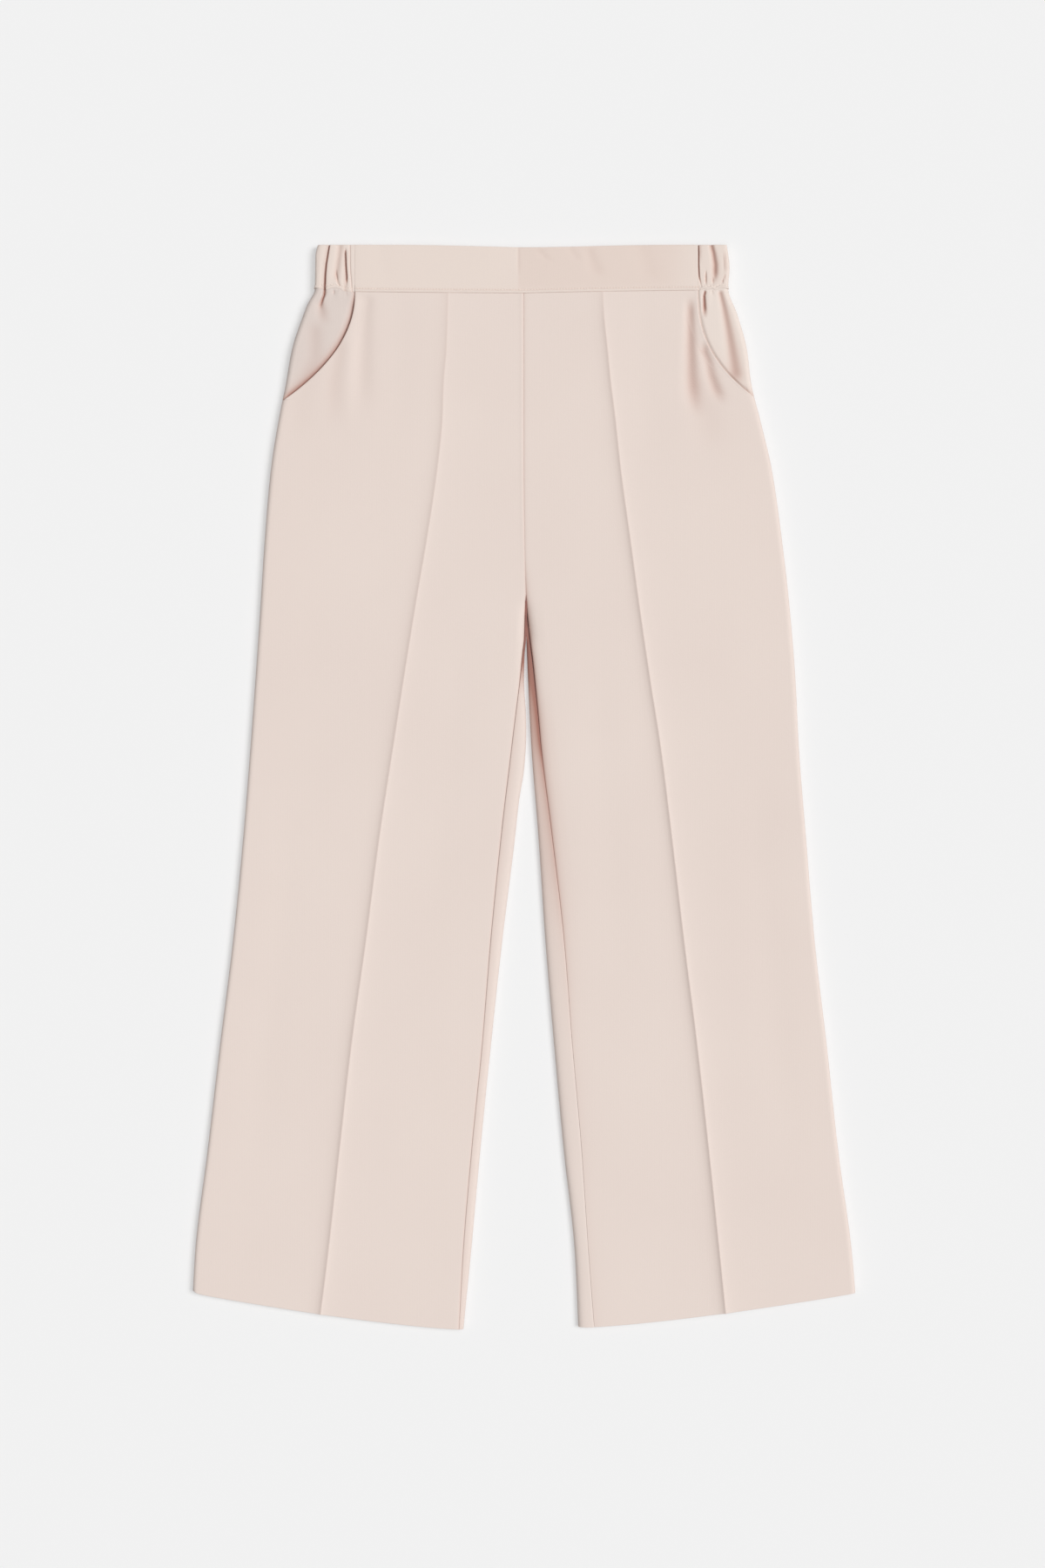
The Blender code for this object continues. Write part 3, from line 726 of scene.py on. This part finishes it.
def pocket_back(side):
    """The side of the hip that shows in the pocket mouth and runs on under the front."""
    mouth_end = BAND_DEPTH + side.mouth.depth
    levels = pocket_rows(mouth_end)
    start = POCKET_BAG_SIDE * ramp(mouth_end + 1, mouth_end + 9, levels)
    hidden = np.where(levels < mouth_end, path_at(side, levels, mouth_line(side)), 0.0)
    shown = np.maximum(hidden, start + SIDE_STEPS[-1] + 2)
    end = path_at(side, levels, lambda drop: mouth_line(side)(drop) - POCKET_LAP)
    paths = spread(start, shown, SIDE_STEPS[:-1], [0, 0.5, 1.1, 1.8, 2.7, 4], 60)
    lap = shown[:, None] + (end - shown)[:, None] * np.array(POCKET_LAP_STEPS)[None, :]
    paths = np.hstack([paths, lap])
    grid = np.repeat(levels[:, None], paths.shape[1], axis=1)
    drop = tilted(side, grid, side_edge(side, grid) - side_fold(grid, paths)[0])
    across = side_edge(side, drop) - side_fold(drop, paths)[0]
    to_mouth = np.maximum(hidden[:, None] - paths, 0.0)
    past_mouth = paths - np.maximum(hidden, start)[:, None]
    inset = pocket_inset(side, grid, paths, hidden[:, None], past_mouth, mouth_end)
    inset += fold_depth(HIP_FOLDS[side.name], drop, across) * ramp(0, 4, paths)
    # Shade is painted into the folds of the pocket back and beside the mouth.
    flush = fold_painted_shade(HIP_FOLDS[side.name], drop, across, side.sign)
    flush += mouth_painted_shade(side, grid, ramp(BAND_DEPTH, mouth_end, drop), to_mouth)
    x, drop, height = upper_face(side, grid, paths, inset)
    name = f"pocket_back_and_hip_{side.name}"
    material = hip_crepe[side.name]
    piece = cloth(name, x, drop, height, CLOTH, material, flush, turned=side is LEFT, rounds=0)
    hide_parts(f"pocket_back_{side.name}")
    return piece


hip_crepe = {
    "right": crepe("blush crepe, right hip", (0.742, 0.648, 0.592), (0.713, 0.617, 0.576), 0.09),
    "left": crepe("blush crepe, left hip", (0.822, 0.724, 0.660), (0.808, 0.704, 0.642), 0.09),
}

pocket_backs = {side.name: pocket_back(side) for side in (RIGHT, LEFT)}

# -------------------- front legs
# The two fronts are cuts of crepe with a crease pressed down the middle of each. They are sewn together at
# the centre front, to the backs at the side seam and the inseam, and are cut away at the pocket mouths.

FORK_EASE = 0.25
SEAM_ROLL = 0.32
SEAM_ROLL_REACH = {"right": 0.7, "left": 1.3}
# Shade painted along the seams, and on the front where it slopes down to the inseam.
SEAM_PAINTED_SHADE = 0.35
SEAM_PAINTED_SHADE_REACH = 0.7
SEAM_LINE_REACH = 0.3
SEAM_FADE = {"right": 0.0, "left": 1.0}
SEAM_FADE_ALONG = (500, 800)
INSEAM_PAINTED_SHADE = {"right": 0.0, "left": 0.8}
CENTRE_BEAD = {"right": 0.25, "left": 0.0}
CENTRE_BEAD_IN = 1.7
CENTRE_BEAD_WIDTH = 0.9
MOUTH_ROLL = 0.3
MOUTH_ROLL_REACH = 0.35
MOUTH_BEAD = {"right": 0.0, "left": 0.22}
MOUTH_BEAD_IN = 1.0
MOUTH_BEAD_WIDTH = 0.8
INSEAM_SLOPE = {"right": (0.3, 2.2, 2.2), "left": (1.4, 2.2, 4.6)}
INSEAM_SLOPE_WIDENS = (375, 440)
INSEAM_SLOPE_END = {"right": 0.2, "left": 0.15}
FRONT_FOLDS = {
    "right": [
        Fold(((50, 140.0), (62, 141.2), (107, 143.6), (160, 144.0)), (6, 9), 1.25, 2, 8, 50, 0.06),
        Fold(((92, 154.0), (130, 156.0), (170, 155.0)), (5.5, 7.0), -0.5, 2, 22, 40, 0.0),
        Fold(((92, 165.0), (122, 170.0), (170, 172.0)), (6.0, 8.0), 0.55, 2, 14, 50, 0.12),
        Fold(((60, 110.0), (130, 112.0), (200, 120.0)), (14, 14), 0.35, 2, 30, 60, 0.0),
        Fold(((110, 196.0), (150, 204.0), (185, 208.0)), (13, 13), 0.6, 2, 20, 40, 0.03),
        Fold(((560, 210.0), (700, 228.0), (860, 240.0)), (16, 16), 0.4, 2, 90, 110, 0.0),
        Fold(((380, 60.0), (520, 72.0), (640, 82.0)), (15, 15), 0.35, 2, 80, 90, 0.0),
    ],
    "left": [
        Fold(
            ((60, 145.6), (90, 145.8), (115, 146.4), (130, 147.6), (156, 151.0)),
            (3.4, 6.4), 2.1, 2, 16, 34, 0.62,
        ),
        Fold(
            ((94, 158.4), (103, 161.8), (114.5, 164.0), (126, 168.2), (142, 173.6)),
            (3.3, 4.8), 1.8, 2, 10, 16, 0.55,
        ),
        Fold(((128, 156.0), (150, 158.0), (190, 160.0)), (12, 14), 0.7, 2, 20, 34, 0.06),
        Fold(((60, 104.0), (140, 108.0), (210, 116.0)), (14, 14), 0.3, 2, 30, 60, 0.0),
        Fold(((520, 206.0), (680, 222.0), (840, 236.0)), (16, 16), 0.4, 2, 90, 110, 0.0),
        Fold(((420, 66.0), (560, 78.0), (690, 90.0)), (15, 15), 0.35, 2, 80, 90, 0.0),
    ],
}


def front_rows(mouth_end):
    """Drops of a front's rows, closest at the waist seam, where the pocket mouth ends and at the hem."""
    at_mouth = [BAND_DEPTH + SEAM, 42.3, 42.8, 43.6, 45, 47] + even(49, mouth_end - 1.5, 2.4)
    at_mouth += [mouth_end - 1.5, mouth_end - 0.7, mouth_end]
    leg = even(mouth_end + 1, 300, 4) + even(300, 460, 4) + even(460, 935, 8)
    hem = [935, 944, 951, 955, LENGTH - 1.2, LENGTH - 0.4, LENGTH]
    return np.array(at_mouth + leg + hem)


def front(side):
    """A front leg, from the waist seam to the hem, cut away along the pocket mouth."""
    mouth_end = BAND_DEPTH + side.mouth.depth
    levels = front_rows(mouth_end)
    open_mouth = levels < mouth_end
    start = np.where(open_mouth, path_at(side, levels, mouth_line(side)), 0.0)
    fold = path_at(side, levels, lambda drop: follow(side.outside, "crease", drop))
    ease = FORK_EASE * (ramp(312, 318, levels) - ramp(340, 440, levels))
    end = path_at(side, levels, lambda drop: inseam(side, drop) + SEAM / 2 + ease)
    outer = spread(start, fold, [0, 0.3, 0.8, 1.6, 2.8, 4.2, 5.8, 7.6, 11], [0, 0.7, 1.8, 3.6, 7, 12], 34)
    inner = spread(fold, end, [0, 0.7, 1.8, 3.6, 7, 12], [0, 0.15, 0.45, 0.9, 1.7, 3, 5, 8], 10)
    paths = np.hstack([outer, inner[:, 1:]])
    grid = np.repeat(levels[:, None], paths.shape[1], axis=1)
    x, drop, height = upper_face(side, grid, paths)
    across = side.sign * x
    from_seam = np.maximum(end[:, None] - paths, 0.0)
    kept = 1 - SEAM_FADE[side.name] * ramp(*SEAM_FADE_ALONG, grid)
    height = height - SEAM_ROLL * kept * np.exp(-from_seam / SEAM_ROLL_REACH[side.name])
    above = 1 - ramp(FRONT_FORK - 60, FRONT_FORK - 20, grid)
    bead = np.exp(-(((from_seam - CENTRE_BEAD_IN) / CENTRE_BEAD_WIDTH) ** 2))
    height = height + CENTRE_BEAD[side.name] * above * bead
    depth, near_fork, far = INSEAM_SLOPE[side.name]
    reach = near_fork + (far - near_fork) * ramp(*INSEAM_SLOPE_WIDENS, grid)
    leg = ramp(FRONT_FORK - 40, FRONT_FORK + 20, grid)
    leg = leg * (1 - (1 - INSEAM_SLOPE_END[side.name]) * ramp(FRONT_FORK + 60, FRONT_FORK + 420, grid))
    height = height - depth * leg * np.exp(-from_seam / reach)
    from_mouth = np.maximum(paths - start[:, None], 0.0)
    at_mouth = (open_mouth * (1 - ramp(mouth_end - 8, mouth_end, levels)))[:, None]
    height = height - at_mouth * MOUTH_ROLL * np.exp(-from_mouth / MOUTH_ROLL_REACH)
    bead = np.exp(-(((from_mouth - MOUTH_BEAD_IN) / MOUTH_BEAD_WIDTH) ** 2))
    height = height + at_mouth * MOUTH_BEAD[side.name] * bead
    height = height - fold_depth(FRONT_FOLDS[side.name], drop, across)
    flush = fold_painted_shade(FRONT_FOLDS[side.name], drop, across, side.sign)
    # Shade is painted along the front's edge at the seams and on the slope down to the inseam.
    line = np.exp(-from_seam / SEAM_LINE_REACH) * (grid > FRONT_FORK)
    flush = flush + follow(side.strip, "seam", drop) * line
    flush = flush + SEAM_PAINTED_SHADE * kept * np.exp(-from_seam / SEAM_PAINTED_SHADE_REACH)
    flush = flush + INSEAM_PAINTED_SHADE[side.name] * leg * np.exp(-from_seam / reach)
    # Shade is painted on the flank of the crease that faces away from the window lamp.
    shaded = side.sign * (follow(side.outside, "crease", drop) - across)
    flush = flush + CREASE_PAINTED_SHADE * np.exp(-np.abs(shaded) / CREASE_REACH) * (shaded > -0.1)
    # Shade is painted on the front's rim along the pocket mouth, full on the wearer's right and faint on the
    # left.
    edge = 0.2 * np.exp(-((from_mouth / 1.1) ** 2)) + 0.6 * np.exp(-from_mouth / 0.12)
    flush = flush + at_mouth * edge * side.shade
    name = f"front_leg_{side.name}"
    piece = cloth(name, x, drop, height, CLOTH, blush_crepe, flush, turned=side is LEFT, rounds=0)
    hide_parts(f"front_{side.name}")
    return piece


front_legs = {side.name: front(side) for side in (RIGHT, LEFT)}

# -------------------- front waistband
# A straight band of crepe, folded double over a stiffening, with its ends sewn into the elastic casing. Below
# its row of stitching the edge stands up in a narrow bead, and near its middle it has a soft crease.

BAND_WALL = 2.0
BAND_HEIGHT = 10.6
TOP_DIP = 2.2
TOP_DIP_REACH = 70.0
TOP_DIP_AT = 8.0
FOLD_DIP = 0.8
FOLD_DIP_AT = -5.0
FOLD_DIP_REACH = 26.0
STITCH_UP = 2.9
STITCH_PITCH = 2.6
STITCH_GROOVE = 0.22
GROOVE_WIDTH = 0.5
NEEDLE_HOLE = 1.2
BEAD_HEIGHT = 0.32
BEAD_WIDTH = 0.85
STITCH_ROW_PAINTED_SHADE = 0.12
BAND_DARKER_STRETCH = 0.13
BAND_RIPPLES = [
    Fold(((0, -5.4), (28, -5.6)), (1.1, 1.5), 0.22, 1.6, 0.1, 14, 0.08),
    Fold(((4, 13.0), (16, 25.0)), (4, 5), 0.3, 2, 5, 9, 0.05),
    Fold(((3, 41.0), (16, 49.0)), (4, 5), 0.28, 2, 5, 9, 0.04),
    Fold(((5, 57.0), (30, 65.0)), (5, 7), 0.45, 2, 6, 10, 0.08),
    Fold(((0, 102.0), (20, 108.0), (36, 112.0)), (8, 9), 0.3, 2, 0.1, 12, 0.04),
    Fold(((0, -128.0), (20, -124.0), (36, -122.0)), (8, 8), 0.2, 2, 0.1, 12, 0.0),
]

band_crepe = crepe("blush crepe, doubled", (0.810, 0.703, 0.636), (0.788, 0.676, 0.613), 0.08)


def top_edge(x):
    """Drop of the waistband's top edge."""
    return TOP_DIP * np.exp(-(((x - TOP_DIP_AT) / TOP_DIP_REACH) ** 2))


def front_seam(x):
    """Drop of the waist seam across the front."""
    return np.where(x < 0, waist_seam(RIGHT, -x), waist_seam(LEFT, x))


def rounded(distance, radius):
    """How far an edge with that radius has sunk at a distance in from it."""
    return radius - np.sqrt(radius**2 - np.clip(radius - distance, 0.0, radius) ** 2)


def band_rows(depth):
    """Distances down the band: close together at its edges and at its stitching."""
    top = [0, 0.04, 0.15, 0.35, 0.65, 1.1, 1.8, 3.0]
    foot = [0, 0.05, 0.2, 0.5, 0.8, 1.1, 1.4, 1.8, 2.2, 2.5, 2.8, 3.1, 3.4, 3.8, 4.6]
    return np.array(top + even(4.5, depth - 6, 1.5) + [depth - up for up in reversed(foot)])


def stitched(up, along):
    """Height that the waist seam's edge gains or loses at its bead, its stitching and the needle holes."""
    bead = BEAD_HEIGHT * np.exp(-(((up - STITCH_UP / 2) / BEAD_WIDTH) ** 2))
    groove = STITCH_GROOVE * np.exp(-(((up - STITCH_UP) / GROOVE_WIDTH) ** 2))
    hole = 0.55 + 0.45 * np.cos(2 * np.pi * along / STITCH_PITCH)
    return bead - groove * (1 + NEEDLE_HOLE * hole**2)


def front_band_height(x, up, down):
    """Height of the front band at a distance up from its seam and down from its top."""
    away = np.abs(x - FOLD_DIP_AT) / FOLD_DIP_REACH
    height = BAND_HEIGHT - FOLD_DIP * np.maximum(1 - away, 0.0) * up / (up + down)
    height = height - fold_depth(BAND_RIPPLES, down, x)
    return height - rounded(down, 0.8) - rounded(up, 0.35) + stitched(up, x)


def front_band():
    start, end = -RIGHT.mouth.start + SEAM / 2, LEFT.mouth.start - SEAM / 2
    down = band_rows(BAND_DEPTH)[:, None] / BAND_DEPTH
    x = spread(np.array([start]), np.array([end]), [0, 0.1, 0.3, 0.6], [0, 0.1, 0.3, 0.6], 460)
    x = np.repeat(x, len(down), axis=0)
    depth = front_seam(x) - top_edge(x)
    height = front_band_height(x, depth * (1 - down), depth * down)
    to_end = np.minimum(x - start, end - x)
    height = height - rounded(to_end, 0.15) - (BAND_HEIGHT - LOFT[0].height) * np.exp(-to_end / 2.5)
    drop = top_edge(x) + depth * down
    # Shade is painted into the row of stitching, deepest at the needle holes, along the seam at the foot of
    # the band and in its ripples.
    holes = 0.5 + 0.5 * np.cos(2 * np.pi * x / STITCH_PITCH)
    flush = STITCH_ROW_PAINTED_SHADE * (0.7 + 1.6 * holes**3) * np.exp(-(((depth * (1 - down) - STITCH_UP) / 0.75) ** 2))
    flush = flush + SEAM_PAINTED_SHADE * (down > 0.99)
    flush = flush + fold_painted_shade(BAND_RIPPLES, depth * down, x, 1)
    # From its soft crease towards the wearer's left the band's colour is a little deeper, except near the
    # waist seam.
    flush = flush + BAND_DARKER_STRETCH * ramp(-6.5, -4, x) * (1 - ramp(120, 150, x)) * (1 - ramp(0.86, 0.95, down))
    piece = cloth("front_waistband", x, drop, height, BAND_WALL, band_crepe, flush, rounds=0)
    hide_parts("waistband_front")
    return piece


front_waistband = front_band()

# -------------------- elasticated waistband
# A casing of doubled crepe over flat elastic, which draws it into uneven gathers. It starts on the front at
# the top of each pocket mouth and runs round the back from one side to the other.

BACK_BAND_GATHERS = 30
BACK_BAND_DEPTH = 1.0
CASING_SQUARE = 3.4
CASING_JOINT = 1.0
CASING_JOINT_REACH = 2.6
CASING_JOINT_UP = 9.0
CASING_FOLDS = {
    "right": [
        Fold(
            ((0, 172.0), (8.4, 173.4), (18.4, 175.0), (28.4, 175.9), (44, 176.4)),
            (0.55, 0.85), 2.5, 2, 0.1, 0.1, 1.6,
        ),
        Fold(((0, 173.6), (18.4, 176.4), (44, 178.0)), (2.0, 2.4), 0.5, 2, 0.1, 0.1, 0.25),
        Fold(
            ((2, 163.2), (8.4, 163.8), (18.4, 165.2), (28.4, 166.6), (38, 166.8)),
            (2.6, 3.0), 1.0, 2, 5, 8, 0.35,
        ),
        Fold(((28, 166.0), (36.5, 164.6), (40, 162.6)), (0.8, 1.1), 0.9, 1.8, 5, 2, 0.4),
        Fold(((7.5, 157.9), (18.4, 157.6), (28.4, 156.9), (36, 157.0)), (0.55, 0.8), 2.3, 2, 4, 6, 1.35),
        Fold(((8, 158.6), (44, 158.4)), (1.9, 1.9), 0.6, 2, 6, 0.1, 0.25),
        Fold(((0, 153.9), (18, 153.9), (28.4, 153.2), (44, 151.8)), (0.6, 0.6), 0.6, 1.6, 0.1, 0.1, 0.3),
        Fold(((0, 181.6), (30, 183.0)), (1.2, 1.2), 0.3, 2, 0.1, 10, 0.03),
    ],
    "left": [
        Fold(
            ((0, 153.6), (8.4, 153.8), (18.4, 153.8), (30, 154.4), (42, 157.2)),
            (0.6, 0.5), 2.1, 2, 0.1, 16, 1.3,
        ),
        Fold(((0, 154.2), (20, 154.6)), (1.8, 1.8), 0.5, 2, 0.1, 14, 0.25),
        Fold(
            ((0, 164.6), (8.4, 166.6), (18.4, 168.0), (28.4, 167.8), (38, 166.4)),
            (2.0, 2.8), 1.6, 2, 3, 14, 1.0,
        ),
        Fold(((29, 160.2), (36, 160.2), (38, 159.9)), (0.7, 0.9), 1.2, 1.8, 6, 3, 0.6),
        Fold(((34, 166.4), (38, 167.2)), (0.8, 1.1), 1.0, 1.7, 4, 3, 0.4),
        Fold(((31, 177.0), (36, 174.4), (38.5, 173.4)), (0.6, 0.9), 1.2, 1.8, 4, 3, 0.55),
        Fold(((14, 176.6), (30, 177.2)), (1.4, 1.4), 0.4, 2, 10, 10, 0.35),
    ],
}


def casing_end(side, drop, share):
    """The casing on the front, from its end to where it turns down at the side."""
    radius = loft(drop) / 2
    start = side.mouth.start + SEAM / 2
    across = start + (side_edge(side, drop) - radius - start) * share
    sunk = CASING_JOINT * np.exp(-(((across - start) / CASING_JOINT_REACH) ** 2))
    sunk = sunk * ramp(BAND_DEPTH - CASING_JOINT_UP, BAND_DEPTH, drop)
    return side.sign * across, 2 * radius - sunk - fold_depth(CASING_FOLDS[side.name], drop, across)


def casing_side(side, drop, share):
    """Where the casing turns round the side, from the top to the surface, flattened like a pressed edge."""
    radius = loft(drop) / 2
    angle = np.pi * share
    turning = side_edge(side, drop) - radius
    out = np.abs(np.sin(angle)) ** (2 / CASING_SQUARE)
    up = np.sign(np.cos(angle)) * np.abs(np.cos(angle)) ** (2 / CASING_SQUARE)
    folds = fold_depth(CASING_FOLDS[side.name], drop, turning + radius * out) * (1 - share) ** 2
    return side.sign * (turning + radius * out), radius + (radius - folds / 2) * up


def casing_back(drop, share):
    """The gathered casing under the garment, from the wearer's right to the left."""
    radius = loft(drop) / 2
    right = radius - side_edge(RIGHT, drop)
    left = side_edge(LEFT, drop) - radius
    uneven = 0.6 + 0.4 * np.cos(share * 61.0) * np.cos(share * 23.0 + drop / 30)
    gather = (1 - np.cos(2 * np.pi * BACK_BAND_GATHERS * share)) / 2
    return right + (left - right) * share, BACK_BAND_DEPTH * uneven * gather


def elastic_band():
    down = band_rows(BAND_DEPTH)[:, None] / BAND_DEPTH
    drop = BAND_DEPTH * down
    ends = np.array([0, 0.003, 0.009, 0.018] + even(0.026, 1, 0.0075))[None, :]
    rounds = np.array(even(0, 0.5, 0.025) + even(0.5, 1, 0.06))[None, :]
    backs = np.array(even(0, 1, 1 / (BACK_BAND_GATHERS * 7)))[None, :]
    parts = [
        casing_end(RIGHT, drop, ends),
        casing_side(RIGHT, drop, rounds),
        casing_back(drop, backs),
        casing_side(LEFT, drop, np.hstack([[[1.0]], rounds[:, ::-1]])),
        casing_end(LEFT, drop, ends[:, ::-1]),
    ]
    x = np.hstack([part[0] for part in parts])
    height = np.hstack([part[1] for part in parts])
    depth = front_seam(x) - top_edge(x)
    above = height > LOFT[0].height / 2
    # Shade is painted into the casing's gathers on its upper face.
    right_painted_shade = fold_painted_shade(CASING_FOLDS["right"], drop, -x, -1)
    left_painted_shade = fold_painted_shade(CASING_FOLDS["left"], drop, x, 1)
    flush = np.where(x < 0, right_painted_shade, left_painted_shade)
    edges = rounded(depth * down, 0.8) + rounded(depth * (1 - down), 0.3)
    height = height - edges * np.where(above, 1.0, -1.0)
    height = height + np.where(above, stitched(depth * (1 - down), x), 0.0)
    piece = cloth(
        "elastic_waistband", x, top_edge(x) + depth * down, height, BAND_WALL, band_crepe, flush * above,
        turned=True, rounds=0,
    )
    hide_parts("waistband_back")
    return piece


elastic_waistband = elastic_band()

# -------------------- stitching
# One row of polyester thread in the colour of the cloth runs just above the waist seam, across the front band
# and the front of the elastic casing, stopping short of the sides.

THREAD = 0.16
STITCH_LENGTH = 1.7
STITCH_FROM_SIDE = 7.0
STITCH_FROM_JOIN = 1.2
STITCH_LIFT = 0.05
STITCH_DIP = 0.12

thread = bpy.data.materials.new("blush thread")
thread.use_nodes = True
thread_shader = thread.node_tree.nodes["Principled BSDF"]
thread_shader.inputs["Base Color"].default_value = (0.80, 0.70, 0.63, 1.0)
thread_shader.inputs["Roughness"].default_value = 0.5
thread_shader.inputs["Sheen Weight"].default_value = 0.2


def stitch_height(x, down):
    """Height of the upper face of either waistband on the row of stitching."""
    if -RIGHT.mouth.start < x < LEFT.mouth.start:
        return front_band_height(np.array(x), STITCH_UP, down)
    side = RIGHT if x < 0 else LEFT
    drop = BAND_DEPTH - STITCH_UP
    share = (abs(x) - side.mouth.start) / (side_edge(side, drop) - loft(drop) / 2 - side.mouth.start)
    return casing_end(side, np.array(drop), share)[1] + stitched(STITCH_UP, np.array(x))


def stitching():
    """A joined mesh of small stitches, each pulled down at its ends into the needle holes."""
    sewn = bmesh.new()
    start = STITCH_FROM_SIDE - side_edge(RIGHT, BAND_DEPTH)
    end = side_edge(LEFT, BAND_DEPTH) - STITCH_FROM_SIDE
    first, last = np.ceil(start / STITCH_PITCH - 0.5), np.floor(end / STITCH_PITCH - 0.5)
    for number in range(int(first), int(last) + 1):
        x = (number + 0.5) * STITCH_PITCH
        if min(abs(x + RIGHT.mouth.start), abs(x - LEFT.mouth.start)) < STITCH_FROM_JOIN:
            continue
        drop = front_seam(np.array(x)) - STITCH_UP
        height = stitch_height(x, drop - top_edge(x)) + STITCH_LIFT
        made = bmesh.ops.create_uvsphere(sewn, u_segments=8, v_segments=6, radius=1.0)
        for vertex in made["verts"]:
            along, side_on, over = vertex.co.z, vertex.co.x, vertex.co.y
            vertex.co = (
                (x + along * STITCH_LENGTH / 2) * MM,
                (LENGTH / 2 - drop + side_on * THREAD) * MM,
                (height + over * THREAD - STITCH_DIP * along**2) * MM,
            )
    mesh = bpy.data.meshes.new("waist_stitching")
    bmesh.ops.recalc_face_normals(sewn, faces=sewn.faces)
    sewn.to_mesh(mesh)
    sewn.free()
    mesh.materials.append(thread)
    mesh.shade_smooth()
    piece = bpy.data.objects.new("waist_stitching", mesh)
    bpy.context.scene.collection.objects.link(piece)
    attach(piece, "root")
    return piece


waist_stitching = stitching()

# -------------------- surface, light and camera
# A pale matt table under the garment that is lit a little from below, a large soft lamp at its right, another
# overhead, and a camera straight above.

FLOOR_GREY = 0.52
FLOOR_GLOW = 0.35
OVERHEAD = 1.15
WINDOW = 2.0
ROOM_LIGHT = 0.14
CAMERA_HEIGHT = 2.4
FRAME_HEIGHT = 1.3846
AIM = (-0.0015, 0.0031)

grid = bmesh.new()
bmesh.ops.create_grid(grid, x_segments=2, y_segments=2, size=30.0)
floor_mesh = bpy.data.meshes.new("floor")
grid.to_mesh(floor_mesh)
grid.free()
floor = bpy.data.objects.new("floor", floor_mesh)
bpy.context.scene.collection.objects.link(floor)
paper = bpy.data.materials.new("pale paper")
paper.use_nodes = True
paper_shader = paper.node_tree.nodes["Principled BSDF"]
paper_shader.inputs["Base Color"].default_value = (FLOOR_GREY, FLOOR_GREY, FLOOR_GREY, 1.0)
paper_shader.inputs["Roughness"].default_value = 0.9
paper_shader.inputs["Specular IOR Level"].default_value = 0.2
paper_shader.inputs["Emission Color"].default_value = (1.0, 1.0, 1.0, 1.0)
paper_shader.inputs["Emission Strength"].default_value = FLOOR_GLOW
floor_mesh.materials.append(paper)


def lamp(name, strength, spread_degrees, turn):
    """A wide soft lamp that lights the whole table evenly."""
    light = bpy.data.lights.new(name, "SUN")
    light.energy = strength
    light.angle = np.radians(spread_degrees)
    stand = bpy.data.objects.new(name, light)
    stand.rotation_euler = np.radians(turn)
    bpy.context.scene.collection.objects.link(stand)


lamp("overhead soft box", OVERHEAD, 70, (0, 0, 0))
lamp("window on the right", WINDOW, 32, (-4, 36, 0))

room = bpy.data.worlds.new("room")
room.use_nodes = True
room.node_tree.nodes["Background"].inputs["Color"].default_value = (1.0, 1.0, 1.0, 1.0)
room.node_tree.nodes["Background"].inputs["Strength"].default_value = ROOM_LIGHT
bpy.context.scene.world = room
bpy.context.scene.view_settings.view_transform = "Standard"

camera_data = bpy.data.cameras.new("camera")
camera_data.sensor_fit = "VERTICAL"
camera_data.sensor_height = 36.0
camera_data.lens = 36.0 * (CAMERA_HEIGHT - 0.008) / FRAME_HEIGHT
camera = bpy.data.objects.new("camera", camera_data)
camera.location = (*AIM, CAMERA_HEIGHT)
bpy.context.scene.collection.objects.link(camera)
bpy.context.scene.camera = camera
